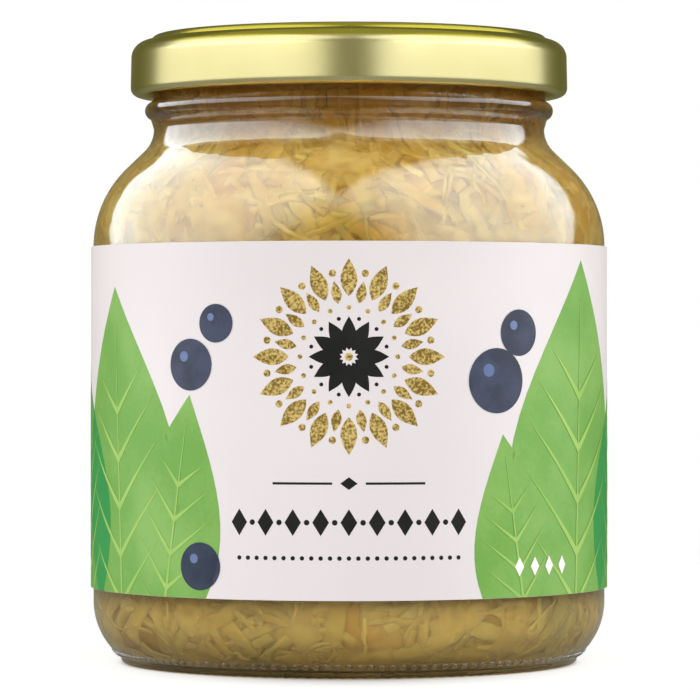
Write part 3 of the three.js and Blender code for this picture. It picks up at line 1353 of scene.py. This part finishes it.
def row_recipe() -> Recipe:
    """Copies of a piece set evenly along a line in X, centred on the piece's own place.

    Returns:
        The tree.
    """
    recipe = Recipe("row of pieces", {"Count": "NodeSocketInt", "Spacing": "NodeSocketFloat"})
    graph = recipe.graph
    points = graph.node("GeometryNodePoints", None, {"Count": recipe.size("Count")}).out()
    number = graph.node("GeometryNodeInputIndex").out()
    along = (number - (recipe.size("Count") - 1.0) * 0.5) * recipe.size("Spacing")
    where = vector_from(graph, along, 0.0, 0.0)
    points = graph.node("GeometryNodeSetPosition", None, {"Geometry": points, "Position": where}).out()
    inputs = {"Points": points, "Instance": recipe.given.out(0)}
    recipe.end(graph.node("GeometryNodeInstanceOnPoints", None, inputs).out())
    return recipe


def wrap_recipe() -> Recipe:
    """A flat sheet given its thickness and bent round the jar.

    Returns:
        The tree. In the flat, X is the way round from the front, Y the height and Z outwards.
    """
    recipe = Recipe("wrapped sheet", {"Radius": "NodeSocketFloat", "Thickness": "NodeSocketFloat"})
    graph = recipe.graph
    flat = recipe.given.out(0)
    extrude = {"Mesh": flat, "Offset Scale": recipe.size("Thickness"), "Individual": False}
    raised = graph.node("GeometryNodeExtrudeMesh", None, extrude).out("Mesh")
    under = graph.node("GeometryNodeFlipFaces", None, {0: flat}).out()
    slab = graph.node("GeometryNodeJoinGeometry", None, {0: [raised, under]}).out()
    slab = graph.node("GeometryNodeMergeByDistance", None, {"Geometry": slab, "Distance": 1e-7}).out()
    place = graph.node("GeometryNodeInputPosition").out()
    x, y, z = parts_of(graph, place)
    radius = recipe.size("Radius") + z
    turn = x / recipe.size("Radius")
    forward = 0.0 - radius * graph.maths("COSINE", turn)
    bent = vector_from(graph, radius * graph.maths("SINE", turn), forward, y)
    slab = graph.node("GeometryNodeSetPosition", None, {"Geometry": slab, "Position": bent}).out()
    angle = graph.node("GeometryNodeInputMeshEdgeAngle").out("Unsigned Angle")
    least_angle = 0.6
    sharp = graph.maths("GREATER_THAN", angle, least_angle)
    crisp = {"Geometry": slab, "Selection": sharp, "Shade Smooth": False}
    slab = graph.node("GeometryNodeSetShadeSmooth", {"domain": "EDGE"}, crisp).out()
    recipe.end(slab)
    return recipe


def leaning(foot: Point, across: float, up: float, lean: float) -> Point:
    """A point of a leaf that leans.

    Args:
        foot: The leaf's foot.
        across: How far to the right of its midrib.
        up: How far along it.
        lean: Its turn from upright, in degrees, positive to the right.

    Returns:
        The point.
    """
    turn = math.radians(lean)
    return (foot[0] + across * math.cos(turn) + up * math.sin(turn),
            foot[1] - across * math.sin(turn) + up * math.cos(turn))


def leaf_outline(foot: Point, length: float, width: float, lean: float, steps: int = 18) -> list[Point]:
    """A pointed oval leaf, its widest place below the middle.

    Args:
        foot: Where it starts.
        length: Its length.
        width: Its width.
        lean: Its turn from upright, in degrees, positive to the right.
        steps: Points on each side.

    Returns:
        The outline, anticlockwise.
    """
    shares = [i / steps for i in range(steps + 1)]
    right = [(0.5 * width * math.sin(math.pi * share**LEAF_FULLNESS), length * share) for share in shares]
    left = [(-x, y) for x, y in reversed(right[1:-1])]
    return [leaning(foot, x, y, lean) for x, y in right + left]


def circle_outline(centre: Point, radius: float, steps: int = 40) -> list[Point]:
    """A circle's outline, anticlockwise."""
    turns = [FULL_TURN * i / steps for i in range(steps)]
    return [(centre[0] + radius * math.cos(t), centre[1] + radius * math.sin(t)) for t in turns]


def bar_outline(centre: Point, width: float, height: float) -> list[Point]:
    """A rectangle's outline, anticlockwise."""
    left, right = centre[0] - width / 2, centre[0] + width / 2
    bottom, top = centre[1] - height / 2, centre[1] + height / 2
    return [(left, bottom), (right, bottom), (right, top), (left, top)]


def lozenge_outline(centre: Point, width: float, height: float) -> list[Point]:
    """A diamond's outline, anticlockwise."""
    x, y = centre
    return [(x, y - height / 2), (x + width / 2, y), (x, y + height / 2), (x - width / 2, y)]


def shared(first: Sequence[Point], second: Sequence[Point]) -> list[Point]:
    """Where two convex outlines overlap.

    Args:
        first: An outline, anticlockwise.
        second: Another.

    Returns:
        The outline of the overlap, or an empty list.
    """
    result = list(first)
    for (ax, ay), (bx, by) in zip(second, list(second[1:]) + [second[0]]):
        kept: list[Point] = []

        def side(point: Point) -> float:
            """How far a point is inside the edge."""
            return (bx - ax) * (point[1] - ay) - (by - ay) * (point[0] - ax)

        for start, end in zip(result, result[1:] + result[:1]):
            here, there = side(start), side(end)
            if here >= 0:
                kept.append(start)
            if (here >= 0) != (there >= 0):
                share = here / (here - there)
                kept.append((start[0] + (end[0] - start[0]) * share, start[1] + (end[1] - start[1]) * share))
        result = kept
        if len(result) < 3:
            return []
    return result


@dataclass(frozen=True)
class Leaf:
    """One printed leaf."""

    foot: Point
    length: float
    width: float
    lean: float
    deep: bool = False

    def outline(self) -> list[Point]:
        """Its outline."""
        return leaf_outline(self.foot, self.length, self.width, self.lean)

    def inward(self, along: float, across: float) -> Point:
        """A point of the leaf.

        Args:
            along: Share of the length.
            across: Distance from the midrib, positive to the right.

        Returns:
            The point.
        """
        return leaning(self.foot, across, along * self.length, self.lean)

    def veins(self, pairs: int = 5) -> list[list[Point]]:
        """The midrib and the side veins, as thin tapering outlines.

        Args:
            pairs: The number of pairs of side veins.

        Returns:
            The outlines.
        """
        rib_corners = ((0.02, -0.28), (0.02, 0.28), (0.9, 0.05), (0.9, -0.05))
        found = [[self.inward(along, across) for along, across in rib_corners]]
        for i in range(pairs):
            along = 0.14 + 0.64 * i / pairs
            reach = 0.4 * self.width * math.sin(math.pi * min(1.0, along + 0.12) ** LEAF_FULLNESS)
            rise = reach / self.length
            for hand in (-1, 1):
                low = self.inward(along, 0.0)
                high = self.inward(along + 0.022, 0.0)
                tip = self.inward(along + rise, hand * reach)
                found.append([low, tip, high] if hand > 0 else [low, high, tip])
        return found


@dataclass(frozen=True)
class PrintRing:
    """Copies of one flat shape set round a middle."""

    name: str
    outline: list[Point]
    count: int
    radius: float
    start: float = 0.0


@dataclass
class Label:
    """The paper label and its print, drawn flat and then bent round the jar.

    Each berry is given as its place and its radius. A layer of print lies a step above the one before.
    """

    bottom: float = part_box("label")[0].z / MM
    top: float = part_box("label")[1].z / MM
    outer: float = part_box("label")[1].x / MM
    paper_thickness: float = 0.14
    ink_thickness: float = 0.012
    clearance: float = 0.1
    edge_inset: float = 0.02
    layer_step: float = 0.014
    overlap_step: float = 0.0004
    back_gap: float = 5.6
    slice_width: float = 1.2
    emblem_middle: Point = (0.0, 48.2)
    left_leaves: tuple[Leaf, ...] = (
        Leaf((-41.0, 2.0), 57.0, 30.0, -3.0),
        Leaf((-32.0, 2.0), 41.0, 18.0, 9.0),
        Leaf((-56.0, 3.0), 45.0, 27.0, -9.0, True),
        Leaf((-70.0, 5.0), 54.0, 26.0, -2.0),
        Leaf((-86.0, 4.0), 42.0, 22.0, 8.0, True),
        Leaf((-101.0, 5.0), 52.0, 24.0, -5.0),
    )
    right_leaves: tuple[Leaf, ...] = (
        Leaf((41.0, 1.0), 62.0, 33.0, 2.0),
        Leaf((30.0, 2.0), 35.0, 16.0, -9.0),
        Leaf((58.0, 3.0), 46.0, 27.0, 11.0, True),
        Leaf((72.0, 5.0), 54.0, 26.0, -3.0),
        Leaf((88.0, 4.0), 41.0, 21.0, -10.0, True),
        Leaf((102.0, 5.0), 53.0, 23.0, 6.0),
    )
    berries: tuple[tuple[float, float, float], ...] = (
        (-25.4, 47.0, 3.9),
        (-20.8, 53.2, 2.9),
        (-23.6, 16.8, 3.6),
        (23.4, 44.6, 4.9),
        (27.6, 51.8, 3.5),
        (-76.0, 59.6, 3.9),
        (80.0, 59.0, 4.0),
        (-92.0, 56.0, 3.2),
    )

    def paper_radius(self) -> float:
        """The radius of the paper's inner face."""
        return self.outer - self.paper_thickness - self.clearance

    def trimmed(self, outline: Sequence[Point]) -> list[Point]:
        """An outline cut off at the label's edges."""
        return shared(outline, self.sheet(self.edge_inset))

    def sheet(self, inset: float = 0.0) -> list[Point]:
        """The flat label's outline, its top and bottom edges moved in by inset."""
        length = FULL_TURN * self.outer - self.back_gap
        height = self.top - self.bottom - 2 * inset
        return bar_outline((0.0, (self.bottom + self.top) / 2), length, height)

    def flat(self, name: str, outlines: Sequence[Sequence[Point]], level: float = 0.0) -> bpy.types.Object:
        """A flat mesh of filled outlines.

        Args:
            name: Its name.
            outlines: The outlines, anticlockwise.
            level: Its height above the sheet, in millimetres.

        Returns:
            The mesh's object.
        """
        vertices: list[tuple[float, float, float]] = []
        faces = []
        for number, outline in enumerate(outlines):
            if len(outline) > 2:
                first = len(vertices)
                lift = level + self.overlap_step * number
                vertices += [(x, y, lift) for x, y in outline]
                faces.append(list(range(first, first + len(outline))))
        return new_object(name, vertices, faces)

    def sliced(self, piece: bpy.types.Object) -> bpy.types.Object:
        """Cuts a flat mesh into upright slices, so that it bends smoothly."""
        bm = bmesh.new()
        bm.from_mesh(piece.data)
        reach = max(abs(vertex.co.x) for vertex in bm.verts) / MM
        count = int(reach / self.slice_width) + 1
        for i in range(-count, count + 1):
            where = Vector((i * self.slice_width * MM, 0.0, 0.0))
            geometry = bm.verts[:] + bm.edges[:] + bm.faces[:]
            bmesh.ops.bisect_plane(bm, geom=geometry, plane_co=where, plane_no=Vector((1.0, 0.0, 0.0)))
        bm.to_mesh(piece.data)
        bm.free()
        return piece

    def print_piece(self, flat: bpy.types.Object, name: str, slot: str, finish: bpy.types.Material,
                    wrap: Recipe) -> None:
        """Bends one flat layer of print round the jar and joins it to the frame.

        Args:
            flat: The flat mesh.
            name: The piece's name.
            slot: The record's material slot.
            finish: Its finish.
            wrap: The tree that bends it.
        """
        piece = wrap.run(self.sliced(flat), name, {
            "Radius": (self.paper_radius() + self.paper_thickness) * MM,
            "Thickness": self.ink_thickness * MM,
            "Finish": finish,
        })
        place_on(piece, slot)

    def emblem(self) -> list[bpy.types.Object]:
        """The gold rosette: two rings of petals and its beads."""
        petals = 16
        between = math.pi / petals
        return self.rings_of((
            PrintRing("outer petals", leaf_outline((0, 0), 5.6, 2.5, 90), petals, 9.0),
            PrintRing("petals between", leaf_outline((0, 0), 3.4, 1.5, 90), petals, 8.0, between),
            PrintRing("beads", circle_outline((0, 0), 0.55, 16), petals, 12.6, between),
            PrintRing("small beads", circle_outline((0, 0), 0.36, 12), petals, 7.3),
            PrintRing("heart", circle_outline((0, 0), 0.6, 16), 1, 0.0),
        ))

    def flower(self) -> list[bpy.types.Object]:
        """The dark flower in the middle of the rosette."""
        petals = 12
        return self.rings_of((
            PrintRing("dark petals", leaf_outline((0, 0), 5.0, 2.2, 90), petals, 1.0),
            PrintRing("dark beads", circle_outline((0, 0), 0.3, 12), petals, 5.8, math.pi / petals),
        ))

    def rings_of(self, rings: Sequence[PrintRing]) -> list[bpy.types.Object]:
        """Rings of flat shapes round the origin.

        Args:
            rings: The rings.

        Returns:
            One flat mesh for each ring.
        """
        recipe = ring_recipe()
        plain = bpy.data.materials.new("blank")
        made = []
        for ring in rings:
            values = {"Count": ring.count, "Radius": ring.radius * MM, "Start": ring.start, "Finish": plain}
            made.append(recipe.run(self.flat(ring.name, [ring.outline]), ring.name, values))
        return made

    def join_flat(self, pieces: Sequence[bpy.types.Object], shift: Point) -> bpy.types.Object:
        """Joins flat meshes into one and moves it.

        Args:
            pieces: The meshes' objects, which are used up.
            shift: How far to move them.

        Returns:
            One object.
        """
        bm = bmesh.new()
        for piece in pieces:
            bm.from_mesh(piece.data)
            remove(piece)
        bmesh.ops.translate(bm, verts=bm.verts[:], vec=Vector((shift[0] * MM, shift[1] * MM, 0.0)))
        mesh = bpy.data.meshes.new("joined")
        bm.to_mesh(mesh)
        bm.free()
        joined = bpy.data.objects.new("joined", mesh)
        bpy.context.scene.collection.objects.link(joined)
        return joined

    def build(self, finishes: Mapping[str, bpy.types.Material]) -> None:
        """Makes the paper and every layer of print.

        Args:
            finishes: The materials, by name.
        """
        wrap = wrap_recipe()
        blank = self.flat("label blank", [self.sheet()])
        paper = wrap.run(self.sliced(blank), "label_paper", {
            "Radius": self.paper_radius() * MM,
            "Thickness": self.paper_thickness * MM,
            "Finish": finishes["paper"],
        })
        place_on(paper, "paper", "label")

        leaves = [*self.left_leaves, *self.right_leaves]
        step = self.layer_step
        light = [self.trimmed(leaf.outline()) for leaf in leaves if not leaf.deep]
        deep = [self.trimmed(leaf.outline()) for leaf in leaves if leaf.deep]
        both = [shared(a, b) for a in light for b in deep if len(a) > 2 and len(b) > 2]
        both = [outline for outline in both if outline]
        layers = (
            ("leaves_light", light, "leaf_green", "leaf light", 0),
            ("leaves_deep", deep, "leaf_green", "leaf deep", 1),
            ("leaves_overlap", both, "leaf_overlap", "leaf overlap", 2),
        )
        for name, outlines, slot, finish, level in layers:
            flat = self.flat(name, outlines, step * level)
            self.print_piece(flat, name, slot, finishes[finish], wrap)
        veins = [self.trimmed(vein) for leaf in leaves for vein in leaf.veins()]
        veins = [vein for vein in veins if vein]
        self.print_piece(self.flat("veins", veins, step * 3), "leaf_veins", "leaf_green",
                         finishes["vein"], wrap)

        rounds = [circle_outline((x, y), radius) for x, y, radius in self.berries]
        self.print_piece(self.flat("berries", rounds, step * 4), "berries", "berry", finishes["berry"], wrap)
        shade = [shared(a, b) for a in rounds for b in light + deep if len(b) > 2]
        shade = [outline for outline in shade if outline]
        self.print_piece(self.flat("shade", shade, step * 5), "berry_overlap", "berry",
                         finishes["berry overlap"], wrap)
        glints = [circle_outline((x - 0.3 * r, y + 0.32 * r), 0.2 * r, 20) for x, y, r in self.berries]
        self.print_piece(self.flat("glints", glints, step * 6), "berry_glints", "berry",
                         finishes["berry glint"], wrap)

        gold = self.join_flat(self.emblem(), self.emblem_middle)
        self.print_piece(gold, "emblem_foil", "foil", finishes["foil"], wrap)
        dark = self.join_flat(self.flower(), self.emblem_middle)
        self.print_piece(dark, "emblem_ink", "ink", finishes["ink"], wrap)
        self.build_rules(finishes["ink"], finishes["white ink"], wrap)

    def build_rules(self, ink: bpy.types.Material, white: bpy.types.Material, wrap: Recipe) -> None:
        """The plain rules, lozenges and dots below the rosette.

        Args:
            ink: The black print.
            white: The white print over the leaves.
            wrap: The tree that bends the print.
        """
        row = row_recipe()
        upper, middle, lower, mark_height = 29.4, 23.6, 18.3, 16.6
        lozenges, lozenge_gap = 9, 4.2
        short_rule = [bar_outline((-7.0, upper), 9.0, 0.35), bar_outline((7.0, upper), 9.0, 0.35),
                      lozenge_outline((0.0, upper), 2.6, 1.9)]
        rule = self.flat("short rule", short_rule)
        tall = row.run(self.flat("lozenge", [lozenge_outline((0.0, middle), 2.5, 4.0)]), "lozenges",
                       {"Count": lozenges, "Spacing": lozenge_gap * MM, "Finish": ink})
        small = row.run(self.flat("bead", [circle_outline((0.0, middle), 0.42, 14)]), "beads",
                        {"Count": lozenges - 1, "Spacing": lozenge_gap * MM, "Finish": ink})
        dots = row.run(self.flat("dot", [circle_outline((0.0, lower), 0.34, 12)]), "dots",
                       {"Count": 25, "Spacing": 1.4 * MM, "Finish": ink})
        black = self.join_flat([rule, tall, small, dots], (0.0, 0.0))
        self.print_piece(black, "rules_ink", "ink", ink, wrap)
        mark = self.flat("mark", [lozenge_outline((0.0, mark_height), 1.8, 2.9)], self.layer_step * 6)
        marks = row.run(mark, "marks", {"Count": 4, "Spacing": 3.2 * MM, "Finish": white})
        marks = self.join_flat([marks], (32.5, 0.0))
        self.print_piece(marks, "marks_white", "paper", white, wrap)


@dataclass(frozen=True)
class Softbox:
    """A rectangular lamp that faces the jar. Lengths are in metres.

    Its azimuth is in degrees from the camera's side, positive to the right, and its elevation in degrees
    above the horizon. White paper in full light is about 1 in radiance. The inner fade is the share of its
    width over which it fades towards the camera's side.
    """

    name: str
    azimuth: float
    elevation: float
    distance: float
    size: Point
    radiance: float
    reach: Reach
    inner_fade: float = 0.16
    colour: Colour = (1.0, 1.0, 1.0)


@dataclass
class Studio:
    """Floor, backdrop light, softboxes and camera.

    Sizes are in millimetres, but for those of the floor's shader, which are in metres.
    """

    eye_height: float = 49.2
    eye_distance: float = 648.0
    eye_side: float = 0.16
    focal_pixels: float = 4100.0
    frame_pixels: float = 700.0
    sensor: float = 36.0
    soft_edge: float = 0.1
    floor_radius: float = 600.0
    floor_colour: Colour = (0.3, 0.3, 0.3)
    # The floor's painted shade under the jar, and its painted shadow of the jar round it.
    painted_shade_under_jar: Colour = (0.5, 0.33, 0.09)
    edge_under_jar: Point = (0.034, 0.037)
    shadow_share: float = 0.68
    shadow_start: float = 0.0365
    shadow_fall: float = 0.0072
    shadow_squeeze: float = 1.35
    floor_fade: Point = (0.15, 0.5)
    world_colour: Colour = (0.98, 0.98, 0.56)
    world_strength: float = 0.17

    def light(self, box: Softbox) -> None:
        """Sets up one softbox.

        Args:
            box: The softbox.
        """
        lamp = bpy.data.lights.new(box.name, "AREA")
        lamp.shape = "RECTANGLE"
        lamp.size, lamp.size_y = box.size
        lamp.energy = math.pi * box.size[0] * box.size[1] * box.radiance
        lamp.color = box.colour
        fades = (self.soft_edge, box.inner_fade)
        self.soften(lamp, fades if box.azimuth < 0 else fades[::-1])
        holder = bpy.data.objects.new(box.name, lamp)
        turn, rise = math.radians(box.azimuth), math.radians(box.elevation)
        aim = Vector((0.0, 0.0, self.eye_height * MM))
        way = Vector((math.sin(turn) * math.cos(rise), -math.cos(turn) * math.cos(rise), math.sin(rise)))
        holder.location = aim + way * box.distance
        holder.rotation_euler = way.to_track_quat("Z", "Y").to_euler()
        holder.visible_camera = False
        holder.visible_glossy = box.reach is not Reach.LIGHT
        holder.visible_transmission = box.reach is not Reach.LIGHT
        holder.visible_diffuse = box.reach not in (Reach.LID, Reach.GLASS)
        bpy.context.scene.collection.objects.link(holder)
        if box.reach.value:
            served = bpy.data.collections.new("served by " + box.name)
            holder.light_linking.receiver_collection = served
            for piece in box.reach.value:
                served.objects.link(bpy.data.objects[piece])

    @staticmethod
    def softboxes() -> list[Softbox]:
        """All the softboxes, those of the two sides first."""
        boxes = []
        for side, azimuth, glare, edge in (("left", -64.0, -79.0, -88.0), ("right", 66.0, 66.0, 88.0)):
            boxes += [
                Softbox(f"{side} fill", azimuth, 8.0, 0.7, (0.9, 0.9), 0.3, Reach.LIGHT),
                Softbox(f"{side} label fill", edge, 20.0, 0.7, (0.9, 0.9), 2.2, Reach.LABEL),
                Softbox(f"{side} upper softbox", azimuth, 40.0, 0.62, (1.3, 0.6), 1.2, Reach.LID),
                Softbox(f"{side} lower softbox", azimuth, 4.0, 0.62, (1.9, 0.6), 0.95, Reach.LID),
                Softbox(f"{side} glare", glare, 39.0, 0.61, (2.1, 1.0), 4.3, Reach.GLASS, 0.45,
                        (0.9, 1.0, 1.12)),
            ]
        return boxes + [
            Softbox("front fill", 0.0, 12.0, 1.0, (1.2, 0.9), 2.6, Reach.LIGHT),
            Softbox("top softbox", 0.0, 88.0, 0.7, (1.0, 1.0), 0.3, Reach.LID),
            Softbox("kraut key", -25.0, 48.0, 0.6, (0.12, 0.12), 6.0, Reach.KRAUT),
        ]

    def soften(self, lamp: bpy.types.AreaLight, fades: tuple[float, float]) -> None:
        """Makes a lamp fade towards its edges.

        Args:
            lamp: The lamp.
            fades: The share of its width over which it fades at its first and last side.
        """
        lamp.use_nodes = True
        graph = Graph(lamp.node_tree)
        u, v, _ = parts_of(graph, graph.node("ShaderNodeNewGeometry").out("Parametric"))
        fade = graph.remap(u, 0.0, fades[0], 0.0, 1.0) * graph.remap(1.0 - u, 0.0, fades[1], 0.0, 1.0)
        fade = fade * graph.remap(v, 0.0, self.soft_edge, 0.0, 1.0)
        fade = fade * graph.remap(1.0 - v, 0.0, self.soft_edge, 0.0, 1.0)
        glow = graph.node("ShaderNodeEmission", None, {"Strength": fade}).out()
        graph.node("ShaderNodeOutputLight", None, {"Surface": glow})

    def camera(self) -> None:
        """The camera, level with the middle of the jar."""
        data = bpy.data.cameras.new("camera")
        data.sensor_width = self.sensor
        data.lens = self.sensor * self.focal_pixels / self.frame_pixels
        holder = bpy.data.objects.new("camera", data)
        holder.location = Vector((self.eye_side, -self.eye_distance, self.eye_height)) * MM
        holder.rotation_euler = (math.pi / 2, 0.0, 0.0)
        bpy.context.scene.collection.objects.link(holder)
        bpy.context.scene.camera = holder

    def floor(self) -> None:
        """A pale round floor that fades into the background, with a painted soft shadow of the jar on it and
        painted dark amber shade under the jar.
        """
        disc = turned("floor", [(0.0, 0.0), (self.floor_radius, 0.0)], 96)
        for polygon in disc.data.polygons:
            polygon.flip()
        material, graph = new_material("pale floor")
        x, y, _ = parts_of(graph, object_place(graph))
        radius = graph.maths("SQRT", x * x + y * y)
        # Painted shade: the floor under the jar takes a dark amber colour.
        clear_of_jar = graph.remap(radius, *self.edge_under_jar, 0.0, 1.0)
        # Painted shadow: the floor's glow falls off towards the jar.
        wide = x * self.shadow_squeeze
        reach = graph.maths("SQRT", wide * wide + y * y)
        shadow = graph.maths("EXPONENT", (self.shadow_start - reach) / self.shadow_fall) * self.shadow_share
        mirrored = graph.node("ShaderNodeLightPath").out("Is Glossy Ray")
        glow = graph.maths("SUBTRACT", 1.0, shadow, clamp=True) * clear_of_jar * (0.95 - 0.75 * mirrored)
        solid = principled(graph, {
            "Base Color": graph.blend(clear_of_jar, self.painted_shade_under_jar, self.floor_colour),
            "Roughness": 0.9,
            "Specular IOR Level": 0.1,
            "Emission Color": vector_from(graph, glow, glow, glow),
            "Emission Strength": 1.0,
        })
        clear = graph.node("ShaderNodeBsdfTransparent").out()
        fade = graph.remap(radius, *self.floor_fade, 0.0, 1.0)
        finish_surface(graph, mixed(graph, fade, solid, clear))
        set_finish(disc, material)

    def world(self) -> None:
        """White to the camera, and dimmer as a source of light."""
        world = bpy.data.worlds.new("studio")
        world.use_nodes = True
        bpy.context.scene.world = world
        graph = Graph(world.node_tree)
        dim_inputs = {"Color": self.world_colour, "Strength": self.world_strength}
        dim = graph.node("ShaderNodeBackground", None, dim_inputs).out()
        white = graph.node("ShaderNodeBackground", None, {"Color": (1.0, 1.0, 1.0), "Strength": 1.0}).out()
        seen = graph.node("ShaderNodeLightPath").out("Is Camera Ray")
        graph.node("ShaderNodeOutputWorld", None, {"Surface": mixed(graph, seen, dim, white)})

    def build(self) -> None:
        """Sets up everything round the jar."""
        self.camera()
        self.floor()
        self.world()
        for box in self.softboxes():
            self.light(box)
        view = bpy.context.scene.view_settings
        view.view_transform = "Standard"
        view.look = "None"


def label_finishes() -> dict[str, bpy.types.Material]:
    """The materials of the label, by name."""
    made = {
        "paper": PaperFinish("label paper", srgb(213, 206, 210), srgb(209, 202, 206), 30.0),
        "leaf light": PaperFinish("leaf light", srgb(100, 153, 63), srgb(122, 166, 82), 70.0),
        "leaf deep": PaperFinish("leaf deep", srgb(75, 145, 59), srgb(99, 155, 70), 70.0),
        "leaf overlap": PaperFinish("leaf overlap", srgb(28, 136, 62), srgb(42, 143, 66), 70.0),
        "vein": PaperFinish("leaf vein", srgb(150, 185, 94), srgb(135, 177, 83), 90.0),
        "berry": PaperFinish("berry", srgb(46, 52, 72), srgb(58, 66, 90), 260.0),
        "berry overlap": PaperFinish("berry overlap", srgb(32, 42, 66), srgb(41, 55, 75), 260.0),
        "berry glint": PaperFinish("berry glint", srgb(101, 117, 159), srgb(86, 104, 150), 260.0),
        "ink": PaperFinish("black ink", srgb(22, 22, 23), srgb(28, 28, 29), 200.0, 0.45),
        "white ink": PaperFinish("white ink", srgb(236, 234, 228), srgb(228, 228, 220), 200.0),
    }
    finishes = {name: finish.build() for name, finish in made.items()}
    finishes["foil"] = FoilFinish("gold foil", srgb(238, 210, 134), srgb(146, 116, 50)).build()
    return finishes


def main() -> None:
    """Builds every piece in order."""
    logging.basicConfig(level=logging.INFO, format="%(name)s: %(message)s")
    jar = Jar()
    jar.build(ClearFinish("clear glass", (0.985, 0.995, 0.985), 1.5, (0.96, 0.97, 0.96)).build())
    core = CabbageFinish("cabbage core", srgb(152, 102, 24), srgb(182, 133, 43), srgb(202, 159, 67), 0.5)
    shred = CabbageFinish("cabbage shreds", srgb(167, 117, 35), srgb(195, 146, 58), srgb(226, 187, 102),
                          0.8, "tone")
    Cabbage(jar).build(core.build(), shred.build())
    brine = CloudyFinish("cloudy brine", (0.99, 0.965, 0.87), 1.333, (0.97, 0.94, 0.84),
                         srgb(175, 128, 46), srgb(217, 177, 100), 0.2, 0.55)
    Brine(jar).build(brine.build())
    gold = LacquerFinish("gold lacquer", srgb(234, 225, 170), srgb(228, 219, 160), srgb(184, 174, 34), 0.25)
    Lid().build(gold.build())
    Label().build(label_finishes())
    Studio().build()


if __name__ == "__main__":
    main()
